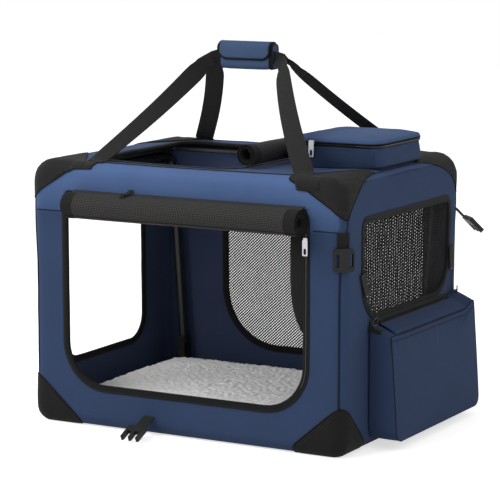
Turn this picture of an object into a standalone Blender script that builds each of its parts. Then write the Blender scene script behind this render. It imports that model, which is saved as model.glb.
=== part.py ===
"""Soft folding dog crate: a steel tube frame that folds flat inside a sewn body of coated cloth.

Metres, +Z up. The front, with the large door, faces -Y and the end with the side pocket faces +X.
The origin is the middle of the underside. Two leaning hoops carry a top frame. They fold inwards on
riveted brackets, one above the other, and the top comes straight down with them.
"""

import math

import bmesh
import bpy
from mathutils import Matrix, Vector

# Sewn body
LENGTH = 0.700
WIDTH = 0.520
HEIGHT = 0.530
CLOTH = 0.003
TOP_EDGE_RADIUS = 0.045
BOTTOM_EDGE_RADIUS = 0.030
RIM_RADIUS = 0.024
END_SEAM_INSET = 0.012
GAP = 0.0003
OVERRUN = 0.020

# Steel tube frame
TUBE_RADIUS = 0.0095
FRAME_CORNER_RADIUS = 0.016
FRAME_END_INSET = 0.030
RAIL_SIDE_INSET = 0.025
TOP_RAIL_DROP = 0.0200
HOOP_STEP = 0.0235
HOOP_NEST = 0.0225
HOOP_LEAN = 0.027
HOOP_PIVOT_HEIGHT = 0.0635
HOOP_CORNER_RADIUS = 0.026
LEG_TAIL = 0.011

# Pivot brackets and clips
BRACKET_PLATE = 0.0025
BRACKET_WIDTH = 0.020
RIVET_RADIUS = 0.003
RIVET_HEAD_RADIUS = 0.0055
RIVET_HEAD = 0.0015
CLIP_WIDTH = 0.024
CLIP_WALL = 0.0022
CLIP_LIP = 0.006
CLIP_INSET = 0.016
SLEEVE_RADIUS = 0.0128
SLEEVE_LENGTH = 0.120

# Openings in the body
DOOR_HALF_WIDTH = 0.264
DOOR_BOTTOM = 0.086
DOOR_TOP_DROP = 0.062
DOOR_BOTTOM_RADIUS = 0.085
DOOR_TOP_RADIUS = 0.004
SIDE_DOOR_HALF_WIDTH = 0.152
SIDE_DOOR_BOTTOM = 0.104
SIDE_DOOR_TOP_DROP = 0.092
SIDE_DOOR_RADIUS = 0.050
WINDOW_FRONT = -0.175
WINDOW_REAR = 0.205
WINDOW_BOTTOM = 0.257
WINDOW_TOP_DROP = 0.092
WINDOW_BOTTOM_RADIUS = 0.070
WINDOW_TOP_RADIUS = 0.012
REAR_WINDOW_LEFT = -0.192
REAR_WINDOW_RIGHT = 0.272
REAR_WINDOW_BOTTOM = 0.088
REAR_WINDOW_TOP_DROP = 0.090
REAR_WINDOW_BOTTOM_RADIUS = 0.120
REAR_WINDOW_TOP_RADIUS = 0.015
ROOF_OPENING_LEFT = -0.255
ROOF_OPENING_RIGHT = 0.070
ROOF_OPENING_HALF_WIDTH = 0.190
ROOF_OPENING_RADIUS = 0.045
BINDING_WIDTH = 0.013
BINDING_LIP = 0.0015
BINDING_CLOTH = 0.0012

# Nets
NET_THICKNESS = 0.0012
WINDOW_NET_PITCH = 0.024
REAR_NET_PITCH = 0.034
NET_STRAND = 0.005
NET_BORDER = 0.004

# Rolled doors
ROLL_CLOTH = 0.0028
ROLL_TURN_GAP = 0.0016
DOOR_ROLL_RADIUS = 0.0250
DOOR_ROLL_LEFT = -0.250
DOOR_ROLL_LENGTH = 0.520
DOOR_ROLL_RISE = 0.005
DOOR_ROLL_TURNS = 3.0
SIDE_ROLL_RADIUS = 0.0165
SIDE_ROLL_TURNS = 2.0
ROOF_ROLL_RADIUS = 0.0215
ROOF_ROLL_LENGTH = 0.340
ROOF_ROLL_TURNS = 2.5

# Corner patches
PATCH_CLOTH = 0.0012
TOP_PATCH_LENGTH = 0.110
TOP_PATCH_DROP = 0.085
TOP_PATCH_DEPTH = 0.120
BOTTOM_PATCH_LENGTH = 0.127
BOTTOM_PATCH_RISE = 0.110
BOTTOM_PATCH_DEPTH = 0.110

# Fleece pad
PAD_TOP = 0.052
PAD_SIDE_GAP = 0.004
PAD_EDGE_SHARE = 0.80
PAD_DRAW_IN = 0.006
PAD_CUTS = 7

# Storage pouch on the roof
POUCH_LEFT = 0.136
POUCH_LENGTH = 0.194
POUCH_FRONT = -0.085
POUCH_WIDTH = 0.215
POUCH_HEIGHT = 0.044
POUCH_WALL = 0.0025
POUCH_CORNER_RADIUS = 0.028
POUCH_LID_SKIRT = 0.008
POUCH_LID_CROWN = 0.016
SLIDER_LENGTH = 0.012
SLIDER_WIDTH = 0.009
SLIDER_DEPTH = 0.004
PULL_LENGTH = 0.028
PULL_WIDTH = 0.011
PULL_THICKNESS = 0.0016
SLIDER_START_SHARE = 0.28
DOOR_SLIDER_DROP = 0.119

# Handle
HANDLE_HEIGHT = 0.200
WRAP_LENGTH = 0.125
WRAP_HEIGHT = 0.054
WRAP_DEPTH = 0.030
WRAP_CORNER_RADIUS = 0.012
WRAP_SLOT_HEIGHT = 0.041
WRAP_SLOT_DEPTH = 0.016
WRAP_FLAP = 0.0025
WRAP_FLAP_DROP = 0.040
WRAP_FLAP_SHARE = 0.94
WEBBING_WIDTH = 0.038
WEBBING = 0.0022
STRAP_FOOT_X = 0.221
STRAP_FOOT_INSET = 0.036
STRAP_TAIL = 0.011
STRAP_SPACING = 0.010
STRAP_BEND_RADIUS = 0.030
STRAP_STEPS = 7

# Side pocket
POCKET_FRONT = -0.162
POCKET_WIDTH = 0.395
POCKET_BOTTOM = 0.014
POCKET_BACK_TOP = 0.240
POCKET_FRONT_TOP = 0.222
POCKET_DEPTH = 0.052
POCKET_STANDOFF = 0.0022
POCKET_WALL = 0.0025
POCKET_CORNER_RADIUS = 0.022
POCKET_BELLY_RADIUS = 0.016
POCKET_LID = 0.0025
POCKET_MOUTH_INSET = 0.032
HANGER_TOP = 0.345
HANGER_WIDTH = 0.018
HANGER_LENGTH = 0.046
HANGER_STANDOFF = 0.0023
FRONT_HANGER_Y = -0.190
FRONT_HANGER_LEAN = 25.0
REAR_HANGER_Y = 0.214
REAR_HANGER_LEAN = 5.0
WIRE_RADIUS = 0.0014
HOOK_RADIUS = 0.0055
HOOK_LOOP_HALF_WIDTH = 0.008
HOOK_LOOP_HEIGHT = 0.014
HOOK_LOOP_RADIUS = 0.0025
HOOK_TIP = 0.010
RING_HALF_WIDTH = 0.010
RING_HEIGHT = 0.013

# Buckles on short straps
BUCKLE_LENGTH = 0.044
BUCKLE_WIDTH = 0.040
BUCKLE_DEPTH = 0.009
BUCKLE_CORNER_RADIUS = 0.005
PRONG_LENGTH = 0.022
PRONG_WIDTH = 0.0065
BUCKLE_BODY = 0.017
SHORT_STRAP_WIDTH = 0.024
SHORT_STRAP = 0.0018
FRONT_STRAP_X = -0.076
FRONT_STRAP_HEIGHT = 0.036
FRONT_STRAP_LENGTH = 0.042
FRONT_STRAP_SWING = 66.0
CORNER_STRAP_DROP = 0.100
CORNER_STRAP_LENGTH = 0.0285
REAR_STRAP_DROP = 0.113
REAR_STRAP_LENGTH = 0.034
REAR_STRAP_SWING = 45.0

# Rounding of curves
ARC_STEPS = 5
RIM_STEPS = 3

FINISHES = {
    "oxford": ((0.055, 0.085, 0.165), 0.75, 0.0),
    "black_cloth": ((0.030, 0.030, 0.032), 0.80, 0.0),
    "webbing": ((0.028, 0.028, 0.030), 0.70, 0.0),
    "mesh": ((0.040, 0.040, 0.042), 0.60, 0.0),
    "fleece": ((0.620, 0.620, 0.600), 0.95, 0.0),
    "steel": ((0.020, 0.020, 0.022), 0.35, 0.6),
    "plastic": ((0.018, 0.018, 0.020), 0.40, 0.0),
    "nickel": ((0.600, 0.600, 0.620), 0.28, 1.0),
}

HALF_LENGTH = LENGTH / 2
HALF_WIDTH = WIDTH / 2
RAIL_Y = HALF_WIDTH - RAIL_SIDE_INSET
RAIL_END_X = HALF_LENGTH - FRAME_END_INSET
BOTTOM_RAIL_Z = CLOTH + GAP + TUBE_RADIUS
TOP_RAIL_Z = HEIGHT - TOP_RAIL_DROP
UPPER_CROSSBAR_Z = TOP_RAIL_Z - 2 * TUBE_RADIUS - GAP
LOWER_CROSSBAR_Z = UPPER_CROSSBAR_Z - HOOP_STEP
UPPER_PIVOT_Z = HOOP_PIVOT_HEIGHT + HOOP_STEP
LOWER_PIVOT_Z = HOOP_PIVOT_HEIGHT
PIVOT_X = RAIL_END_X - HOOP_LEAN
UPPER_LEG_Y = RAIL_Y
LOWER_LEG_Y = RAIL_Y - HOOP_NEST
END_SEAM_X = HALF_LENGTH - END_SEAM_INSET
DOOR_TOP = HEIGHT - DOOR_TOP_DROP
SIDE_DOOR_TOP = HEIGHT - SIDE_DOOR_TOP_DROP
WINDOW_TOP = HEIGHT - WINDOW_TOP_DROP
REAR_WINDOW_TOP = HEIGHT - REAR_WINDOW_TOP_DROP
DOOR_SLIDER_Z = HEIGHT - DOOR_SLIDER_DROP
CORNER_STRAP_Z = HEIGHT - CORNER_STRAP_DROP
REAR_STRAP_Z = HEIGHT - REAR_STRAP_DROP


def clear_scene():
    """Empty the scene and make the collections for the parts and the cutters."""
    for item in list(bpy.data.objects):
        bpy.data.objects.remove(item, do_unlink=True)
    for name in ("folding_crate", "cutters"):
        bpy.context.scene.collection.children.link(bpy.data.collections.new(name))


def keep(obj, finish):
    """Put a finished piece in the parts collection with a material of its own."""
    bpy.data.collections["folding_crate"].objects.link(obj)
    colour, roughness, metallic = FINISHES[finish]
    material = bpy.data.materials.new(f"{obj.name}_{finish}")
    material.use_nodes = True
    shader = material.node_tree.nodes["Principled BSDF"]
    shader.inputs["Base Color"].default_value = (*colour, 1.0)
    shader.inputs["Roughness"].default_value = roughness
    shader.inputs["Metallic"].default_value = metallic
    material.diffuse_color = (*colour, 1.0)
    obj.data.materials.clear()
    obj.data.materials.append(material)
    return obj


def keep_cutter(obj):
    """Put a cutter in its own collection, out of the render."""
    bpy.data.collections["cutters"].objects.link(obj)
    obj.hide_render = True
    obj.display_type = "WIRE"
    return obj


def carry(empty_name, at, pieces):
    """Parent moving pieces to an empty that stands on their joint's axis."""
    empty = bpy.data.objects.new(empty_name, None)
    empty.location = at
    bpy.data.collections["folding_crate"].objects.link(empty)
    for piece in pieces:
        piece.parent = empty
        piece.location = piece.location - Vector(at)
    return empty


def arc(centre, radius, start, end, steps=ARC_STEPS):
    """Points on a circle from one angle to another, in degrees."""
    angles = [math.radians(start + (end - start) * i / steps) for i in range(steps + 1)]
    return [(centre[0] + radius * math.cos(a), centre[1] + radius * math.sin(a)) for a in angles]


def rounded(low_u, high_u, low_v, high_v, bottom_radius, top_radius, steps=ARC_STEPS):
    """A rectangle's outline with one radius at its two low corners and one at its two high ones."""
    points = arc((low_u + bottom_radius, low_v + bottom_radius), bottom_radius, 180, 270, steps)
    points += arc((high_u - bottom_radius, low_v + bottom_radius), bottom_radius, 270, 360, steps)
    points += arc((high_u - top_radius, high_v - top_radius), top_radius, 0, 90, steps)
    points += arc((low_u + top_radius, high_v - top_radius), top_radius, 90, 180, steps)
    return points


PLANES = {
    "XY": (0.0, 0.0, 0.0),
    "XZ": (math.pi / 2, 0.0, 0.0),
    "YZ": (math.pi / 2, 0.0, math.pi / 2),
}


def to_mesh(curve_object):
    """Replace a curve object by a mesh object with its caps welded on."""
    bpy.context.scene.collection.objects.link(curve_object)
    bpy.context.view_layer.update()
    graph = bpy.context.evaluated_depsgraph_get()
    mesh = bpy.data.meshes.new_from_object(curve_object.evaluated_get(graph))
    work = bmesh.new()
    work.from_mesh(mesh)
    bmesh.ops.remove_doubles(work, verts=work.verts, dist=GAP / 30)
    bmesh.ops.dissolve_degenerate(work, dist=GAP / 30, edges=work.edges)
    bmesh.ops.recalc_face_normals(work, faces=work.faces)
    work.to_mesh(mesh)
    work.free()
    obj = bpy.data.objects.new(curve_object.name, mesh)
    obj.matrix_world = curve_object.matrix_world.copy()
    name = curve_object.name
    bpy.data.objects.remove(curve_object, do_unlink=True)
    obj.name = name
    return obj


def plate(name, outlines, thickness, plane, at=(0.0, 0.0, 0.0)):
    """A flat piece with the given outline, any further outlines being holes, centred on its plane."""
    curve = bpy.data.curves.new(name, "CURVE")
    curve.dimensions = "2D"
    curve.fill_mode = "BOTH"
    curve.extrude = thickness / 2
    for outline in outlines:
        spline = curve.splines.new("POLY")
        spline.points.add(len(outline) - 1)
        for point, (u, v) in zip(spline.points, outline):
            point.co = (u, v, 0.0, 1.0)
        spline.use_cyclic_u = True
    obj = bpy.data.objects.new(name, curve)
    obj.rotation_euler = PLANES[plane]
    obj.location = at
    return to_mesh(obj)


def tube(name, points, radius, cyclic=False, resolution=2, as_curve=False):
    """A round bar along a line of points, with flat ends."""
    curve = bpy.data.curves.new(name, "CURVE")
    curve.dimensions = "3D"
    curve.bevel_depth = radius
    curve.bevel_resolution = resolution
    curve.use_fill_caps = True
    spline = curve.splines.new("POLY")
    spline.points.add(len(points) - 1)
    for point, place in zip(spline.points, points):
        point.co = (*place, 1.0)
    spline.use_cyclic_u = cyclic
    obj = bpy.data.objects.new(name, curve)
    return obj if as_curve else to_mesh(obj)


def bend(points, radius, steps=ARC_STEPS, cyclic=False):
    """A line of points with its corners rounded to a radius."""
    places = [Vector(p) for p in points]
    count = len(places)
    corners = range(count) if cyclic else range(1, count - 1)
    out = [] if cyclic else [places[0]]
    for i in corners:
        here = places[i]
        back = (places[i - 1] - here).normalized()
        ahead = (places[(i + 1) % count] - here).normalized()
        half = back.angle(ahead) / 2
        if math.pi / 2 - half < math.radians(1):
            out.append(here)
            continue
        centre = here + (back + ahead).normalized() * (radius / math.sin(half))
        first = here + back * (radius / math.tan(half)) - centre
        turn = math.pi - 2 * half
        axis = first.cross(here + ahead * (radius / math.tan(half)) - centre)
        for k in range(steps + 1):
            out.append(centre + Matrix.Rotation(turn * k / steps, 3, axis) @ first)
    return out if cyclic else out + [places[-1]]


def block(name, low, high):
    """A box between two corners."""
    mesh = bpy.data.meshes.new(name)
    work = bmesh.new()
    bmesh.ops.create_cube(work, size=1.0)
    size = Vector(high) - Vector(low)
    bmesh.ops.scale(work, vec=size, verts=work.verts)
    work.to_mesh(mesh)
    work.free()
    obj = bpy.data.objects.new(name, mesh)
    obj.location = (Vector(low) + Vector(high)) / 2
    return obj


def rod(name, radius, depth, axis, at, sides=16):
    """A round bar of a given length, centred at a point, along X, Y or Z."""
    mesh = bpy.data.meshes.new(name)
    work = bmesh.new()
    bmesh.ops.create_cone(
        work, cap_ends=True, segments=sides, radius1=radius, radius2=radius, depth=depth
    )
    work.to_mesh(mesh)
    work.free()
    obj = bpy.data.objects.new(name, mesh)
    obj.rotation_euler = {
        "X": (0.0, math.pi / 2, 0.0),
        "Y": (math.pi / 2, 0.0, 0.0),
        "Z": (0.0, 0.0, 0.0),
    }[axis]
    obj.location = at
    return obj


def cut(obj, cutter, operation="DIFFERENCE"):
    """Cut a piece, join another solid to it, or keep only what lies in the cutter."""
    if cutter.name not in bpy.data.collections["cutters"].objects:
        keep_cutter(cutter)
    modifier = obj.modifiers.new(cutter.name, "BOOLEAN")
    modifier.operation = operation
    modifier.solver = "EXACT"
    modifier.object = cutter
    return obj


def strip(name, path, across, thickness):
    """Flat webbing along a path. Each point has its own half-width vector."""
    mesh = bpy.data.meshes.new(name)
    work = bmesh.new()
    rows = []
    for place, half in zip(path, across):
        middle, half = Vector(place), Vector(half)
        rows.append((work.verts.new(middle - half), work.verts.new(middle + half)))
    for (a, b), (c, d) in zip(rows, rows[1:]):
        work.faces.new((a, b, d, c))
    work.to_mesh(mesh)
    work.free()
    obj = bpy.data.objects.new(name, mesh)
    solid = obj.modifiers.new("thickness", "SOLIDIFY")
    solid.thickness = thickness
    solid.offset = 0.0
    solid.use_even_offset = True
    return obj


def smooth(obj, degrees=35):
    """Shade a round piece smooth, but keep its sharp edges."""
    obj.data.shade_smooth()
    obj.data.set_sharp_from_angle(angle=math.radians(degrees))
    return obj


def body_solid(name, grow):
    """The whole rounded body as one solid, grown outwards by a small distance."""
    outline = rounded(
        -HALF_LENGTH - grow,
        HALF_LENGTH + grow,
        -grow,
        HEIGHT + grow,
        BOTTOM_EDGE_RADIUS + grow,
        TOP_EDGE_RADIUS + grow,
    )
    obj = plate(name, [outline], WIDTH + 2 * grow, "XZ")
    rim = obj.modifiers.new("rim", "BEVEL")
    rim.width = RIM_RADIUS + grow
    rim.segments = RIM_STEPS
    rim.limit_method = "ANGLE"
    rim.angle_limit = math.radians(45)
    rim.use_clamp_overlap = False
    return obj


def make_body_cutters():
    """The solids that every cloth panel and patch is cut from."""
    keep_cutter(body_solid("body_inside", -CLOTH))
    keep_cutter(body_solid("patch_inside", GAP))


def panel(name, low, high, opening=None):
    """A piece of the body's cloth that lies within a box, with an opening cut out of it."""
    obj = body_solid(name, 0.0)
    cut(obj, bpy.data.objects["body_inside"])
    cut(obj, block(f"{name}_region", low, high), "INTERSECT")
    if opening:
        outline, plane = opening
        cut(obj, plate(f"{name}_opening", [outline], 2 * max(LENGTH, HEIGHT), plane))
    return smooth(keep(obj, "oxford"))


def door_outline(grow=0.0):
    """The large front door, in X and Z."""
    return rounded(
        -DOOR_HALF_WIDTH - grow,
        DOOR_HALF_WIDTH + grow,
        DOOR_BOTTOM - grow,
        DOOR_TOP + grow,
        DOOR_BOTTOM_RADIUS + grow,
        DOOR_TOP_RADIUS + grow,
    )


def side_door_outline(grow=0.0):
    """The door in the left end, in Y and Z."""
    return rounded(
        -SIDE_DOOR_HALF_WIDTH - grow,
        SIDE_DOOR_HALF_WIDTH + grow,
        SIDE_DOOR_BOTTOM - grow,
        SIDE_DOOR_TOP + grow,
        SIDE_DOOR_RADIUS + grow,
        DOOR_TOP_RADIUS + grow,
    )


def window_outline(grow=0.0):
    """The net window in the right end, in Y and Z."""
    return rounded(
        WINDOW_FRONT - grow,
        WINDOW_REAR + grow,
        WINDOW_BOTTOM - grow,
        WINDOW_TOP + grow,
        WINDOW_BOTTOM_RADIUS + grow,
        WINDOW_TOP_RADIUS + grow,
    )


def rear_window_outline(grow=0.0):
    """The net window in the rear wall, in X and Z."""
    return rounded(
        REAR_WINDOW_LEFT - grow,
        REAR_WINDOW_RIGHT + grow,
        REAR_WINDOW_BOTTOM - grow,
        REAR_WINDOW_TOP + grow,
        REAR_WINDOW_BOTTOM_RADIUS + grow,
        REAR_WINDOW_TOP_RADIUS + grow,
    )


def roof_outline(grow=0.0):
    """The opening in the roof, in X and Y."""
    return rounded(
        ROOF_OPENING_LEFT - grow,
        ROOF_OPENING_RIGHT + grow,
        -ROOF_OPENING_HALF_WIDTH - grow,
        ROOF_OPENING_HALF_WIDTH + grow,
        ROOF_OPENING_RADIUS + grow,
        ROOF_OPENING_RADIUS + grow,
    )


def make_panels():
    """The floor, four walls and roof, each a cloth shell with its own openings."""
    seam_x = END_SEAM_X - GAP
    rim_y = HALF_WIDTH - RIM_RADIUS
    far_x, far_y = HALF_LENGTH + OVERRUN, HALF_WIDTH + OVERRUN
    low_z, high_z = -OVERRUN, HEIGHT + OVERRUN
    middle_z = HEIGHT / 2
    panel(
        "front_panel",
        (-seam_x, -far_y, low_z),
        (seam_x, -rim_y - GAP, high_z),
        (door_outline(), "XZ"),
    )
    panel(
        "rear_panel",
        (-seam_x, rim_y + GAP, low_z),
        (seam_x, far_y, high_z),
        (rear_window_outline(), "XZ"),
    )
    panel(
        "left_panel",
        (-far_x, -far_y, low_z),
        (-END_SEAM_X, far_y, high_z),
        (side_door_outline(), "YZ"),
    )
    panel(
        "right_panel",
        (END_SEAM_X, -far_y, low_z),
        (far_x, far_y, high_z),
        (window_outline(), "YZ"),
    )
    panel("floor_panel", (-seam_x, -rim_y, low_z), (seam_x, rim_y, middle_z))
    panel(
        "roof_panel",
        (-seam_x, -rim_y, middle_z),
        (seam_x, rim_y, high_z),
        (roof_outline(), "XY"),
    )


def binding(name, outline, plane, at):
    """Tape folded over the edge of an opening, as a ring with a groove for the panel's cloth."""
    full = CLOTH + 2 * (GAP + BINDING_CLOTH)
    obj = plate(name, [outline(BINDING_WIDTH), outline(-BINDING_LIP)], full, plane, at)
    groove = plate(
        f"{name}_groove",
        [outline(BINDING_WIDTH + OVERRUN), outline(-GAP)],
        CLOTH + 2 * GAP,
        plane,
        at,
    )
    return keep(cut(obj, groove), "black_cloth")


def make_bindings():
    """The black tape round the doors and windows."""
    middle = CLOTH / 2
    binding("front_door_binding", door_outline, "XZ", (0.0, -HALF_WIDTH + middle, 0.0))
    binding("rear_window_binding", rear_window_outline, "XZ", (0.0, HALF_WIDTH - middle, 0.0))
    binding("left_door_binding", side_door_outline, "YZ", (-HALF_LENGTH + middle, 0.0, 0.0))
    binding("right_window_binding", window_outline, "YZ", (HALF_LENGTH - middle, 0.0, 0.0))
    binding("roof_opening_binding", roof_outline, "XY", (0.0, 0.0, HEIGHT - middle))


def inside(point, outline):
    """Is a point within a convex outline that runs anticlockwise?"""
    for (a, b), (c, d) in zip(outline, outline[1:] + outline[:1]):
        if (c - a) * (point[1] - b) - (d - b) * (point[0] - a) < 0:
            return False
    return True


def net(name, outline, pitch, plane, at):
    """A flat net that fills a window, with every square gap that fits inside its border."""
    edge = outline(-BINDING_LIP - GAP)
    field = outline(-BINDING_LIP - GAP - NET_BORDER)
    low_u, high_u = min(u for u, v in field), max(u for u, v in field)
    low_v, high_v = min(v for u, v in field), max(v for u, v in field)
    columns = int((high_u - low_u) / pitch)
    rows = int((high_v - low_v) / pitch)
    step_u, step_v = (high_u - low_u) / columns, (high_v - low_v) / rows
    holes = []
    for i in range(columns):
        for j in range(rows):
            u, v = low_u + i * step_u + NET_STRAND / 2, low_v + j * step_v + NET_STRAND / 2
            far_u, far_v = u + step_u - NET_STRAND, v + step_v - NET_STRAND
            corners = [(u, v), (far_u, v), (far_u, far_v), (u, far_v)]
            if all(inside(corner, field) for corner in corners):
                holes.append(corners)
    return keep(plate(name, [edge, *holes], NET_THICKNESS, plane, at), "mesh")


def make_nets():
    """The nets in the right end and in the rear wall."""
    middle = CLOTH / 2
    net("right_window_net", window_outline, WINDOW_NET_PITCH, "YZ", (HALF_LENGTH - middle, 0.0, 0.0))
    net("rear_window_net", rear_window_outline, REAR_NET_PITCH, "XZ", (0.0, HALF_WIDTH - middle, 0.0))


def roll(name, radius, turns, length, axis, at, rests_at):
    """A rolled-up door, a spiral of cloth with an open core, widest at the angle it rests at."""
    pitch = ROLL_CLOTH + ROLL_TURN_GAP
    steps = int(turns * 12)
    outer, inner = [], []
    for i in range(steps + 1):
        angle = 2 * math.pi * turns * i / steps
        reach = radius - pitch * angle / (2 * math.pi)
        taper = min(1.0, i / 2 + 0.5, (steps - i) / 2 + 0.5)
        turned = angle + math.radians(rests_at)
        outer.append((reach * math.cos(turned), reach * math.sin(turned)))
        reach -= ROLL_CLOTH * taper
        inner.append((reach * math.cos(turned), reach * math.sin(turned)))
    closest = min(
        math.dist(p, q)
        for i, p in enumerate(inner)
        for j, q in enumerate(outer)
        if j - i > 6
    )
    print(f"{name}: least gap between turns {closest * 1000:.2f} mm")
    plane = {"X": "YZ", "Y": "XZ"}[axis]
    return keep(plate(name, [outer + inner[::-1]], length, plane, at), "black_cloth")


def make_rolls():
    """The three mesh doors, rolled up and out of the way."""
    front_x = DOOR_ROLL_LEFT + DOOR_ROLL_LENGTH / 2
    front_z = DOOR_TOP + DOOR_ROLL_RISE - DOOR_ROLL_RADIUS
    front_y = -HALF_WIDTH - GAP - BINDING_CLOTH - GAP - DOOR_ROLL_RADIUS
    roll(
        "front_door_roll",
        DOOR_ROLL_RADIUS,
        DOOR_ROLL_TURNS,
        DOOR_ROLL_LENGTH,
        "X",
        (front_x, front_y, front_z),
        0,
    )
    side_x = -HALF_LENGTH + CLOTH + GAP + BINDING_CLOTH + GAP + SIDE_ROLL_RADIUS
    side_z = SIDE_DOOR_TOP + BINDING_WIDTH - SIDE_ROLL_RADIUS
    roll(
        "left_door_roll",
        SIDE_ROLL_RADIUS,
        SIDE_ROLL_TURNS,
        2 * SIDE_DOOR_HALF_WIDTH,
        "Y",
        (side_x, 0.0, side_z),
        180,
    )
    roof_x = ROOF_OPENING_RIGHT + ROOF_ROLL_RADIUS
    roof_z = HEIGHT + GAP + ROOF_ROLL_RADIUS
    roll(
        "roof_door_roll",
        ROOF_ROLL_RADIUS,
        ROOF_ROLL_TURNS,
        ROOF_ROLL_LENGTH,
        "Y",
        (roof_x, 0.0, roof_z),
        270,
    )


def patch(name, side_x, side_y, level, length, rise, depth):
    """A corner patch of black cloth, sewn over the body's corner."""
    obj = body_solid(name, GAP + PATCH_CLOTH)
    cut(obj, bpy.data.objects["patch_inside"])
    up = 1 if level == "top" else -1
    corner_z = HEIGHT if level == "top" else 0.0
    a = Vector((side_x * (HALF_LENGTH - length), side_y * HALF_WIDTH, corner_z))
    b = Vector((side_x * HALF_LENGTH, side_y * HALF_WIDTH, corner_z - up * rise))
    c = Vector((side_x * HALF_LENGTH, side_y * (HALF_WIDTH - depth), corner_z))
    normal = (b - a).cross(c - a).normalized()
    outwards = Vector((side_x, side_y, up))
    if normal.dot(outwards) < 0:
        normal = -normal
    size = 2 * max(length, rise, depth)
    wedge = block(f"{name}_corner", (-size, -size, -size), (size, size, size))
    wedge.rotation_euler = normal.to_track_quat("Z", "Y").to_euler()
    wedge.location = (a + b + c) / 3 + normal * size
    cut(obj, wedge, "INTERSECT")
    if level == "bottom":
        reach = (LENGTH, WIDTH, 0.0)
        cut(obj, block(f"{name}_ground", (-LENGTH, -WIDTH, -OVERRUN), reach))
    return smooth(keep(obj, "black_cloth"))


def make_patches():
    """Eight corner patches, named by end, side and level."""
    sizes = {
        "top": (TOP_PATCH_LENGTH, TOP_PATCH_DROP, TOP_PATCH_DEPTH),
        "bottom": (BOTTOM_PATCH_LENGTH, BOTTOM_PATCH_RISE, BOTTOM_PATCH_DEPTH),
    }
    for level, size in sizes.items():
        for end, side_x in (("left", -1), ("right", 1)):
            for side, side_y in (("front", -1), ("rear", 1)):
                patch(f"{level}_patch_{side}_{end}", side_x, side_y, level, *size)


def rectangle_frame(name, z):
    """A closed rectangle of tube with bent corners."""
    corners = [
        (-RAIL_END_X, -RAIL_Y, z),
        (RAIL_END_X, -RAIL_Y, z),
        (RAIL_END_X, RAIL_Y, z),
        (-RAIL_END_X, RAIL_Y, z),
    ]
    path = bend(corners, FRAME_CORNER_RADIUS, cyclic=True)
    return smooth(keep(tube(name, path, TUBE_RADIUS, cyclic=True), "steel"))


def hoop(name, side_x, leg_y, pivot_z, crossbar_z):
    """A leaning U of tube with a rivet hole through each foot."""
    pivot_x, top_x = side_x * PIVOT_X, side_x * RAIL_END_X
    lean = Vector((top_x - pivot_x, 0.0, crossbar_z - pivot_z)).normalized()
    foot = Vector((pivot_x, 0.0, pivot_z)) - lean * LEG_TAIL
    path = bend(
        [
            (foot.x, -leg_y, foot.z),
            (top_x, -leg_y, crossbar_z),
            (top_x, leg_y, crossbar_z),
            (foot.x, leg_y, foot.z),
        ],
        HOOP_CORNER_RADIUS,
    )
    obj = tube(name, path, TUBE_RADIUS)
    bore = rod(f"{name}_bore", RIVET_RADIUS + GAP, WIDTH, "Y", (pivot_x, 0.0, pivot_z))
    cut(obj, bore)
    return smooth(keep(obj, "steel"))


def bracket(name, side_x, side_y, leg_y, pivot_z):
    """A U-shaped bracket on the bottom rail with the rivet that a hoop's foot turns on."""
    x = side_x * PIVOT_X
    rail_top = BOTTOM_RAIL_Z + TUBE_RADIUS + GAP
    half = BRACKET_WIDTH / 2
    inner = TUBE_RADIUS + GAP
    on_rail = abs(leg_y - RAIL_Y) < GAP
    foot_z = BOTTOM_RAIL_Z if on_rail else CLOTH + GAP
    outline = [(x - half, foot_z), (x + half, foot_z)]
    outline += arc((x, pivot_z), TUBE_RADIUS, 0, 180)
    cheek_y = inner + BRACKET_PLATE / 2
    obj = plate(name, [outline], BRACKET_PLATE, "XZ", (0.0, side_y * (leg_y - cheek_y), 0.0))
    other = plate(
        f"{name}_outer_cheek",
        [outline],
        BRACKET_PLATE,
        "XZ",
        (0.0, side_y * (leg_y + cheek_y), 0.0),
    )
    cut(obj, other, "UNION")
    reach = leg_y + inner + BRACKET_PLATE if on_rail else RAIL_Y + TUBE_RADIUS
    low_y, high_y = sorted((side_y * (leg_y - inner - BRACKET_PLATE), side_y * reach))
    web = block(
        f"{name}_web", (x - half, low_y, rail_top), (x + half, high_y, rail_top + BRACKET_PLATE)
    )
    cut(obj, web, "UNION")
    across = 2 * (inner + BRACKET_PLATE)
    pin = rod(f"{name}_pin", RIVET_RADIUS, across, "Y", (x, side_y * leg_y, pivot_z))
    cut(obj, pin, "UNION")
    depth = RIVET_HEAD + BRACKET_PLATE / 2
    for side in (-1, 1):
        head_y = side_y * leg_y + side * (across + RIVET_HEAD - BRACKET_PLATE / 2) / 2
        head = rod(
            f"{name}_head_{'outer' if side > 0 else 'inner'}",
            RIVET_HEAD_RADIUS,
            depth,
            "Y",
            (x, head_y, pivot_z),
        )
        cut(obj, head, "UNION")
    return keep(obj, "steel")


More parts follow.
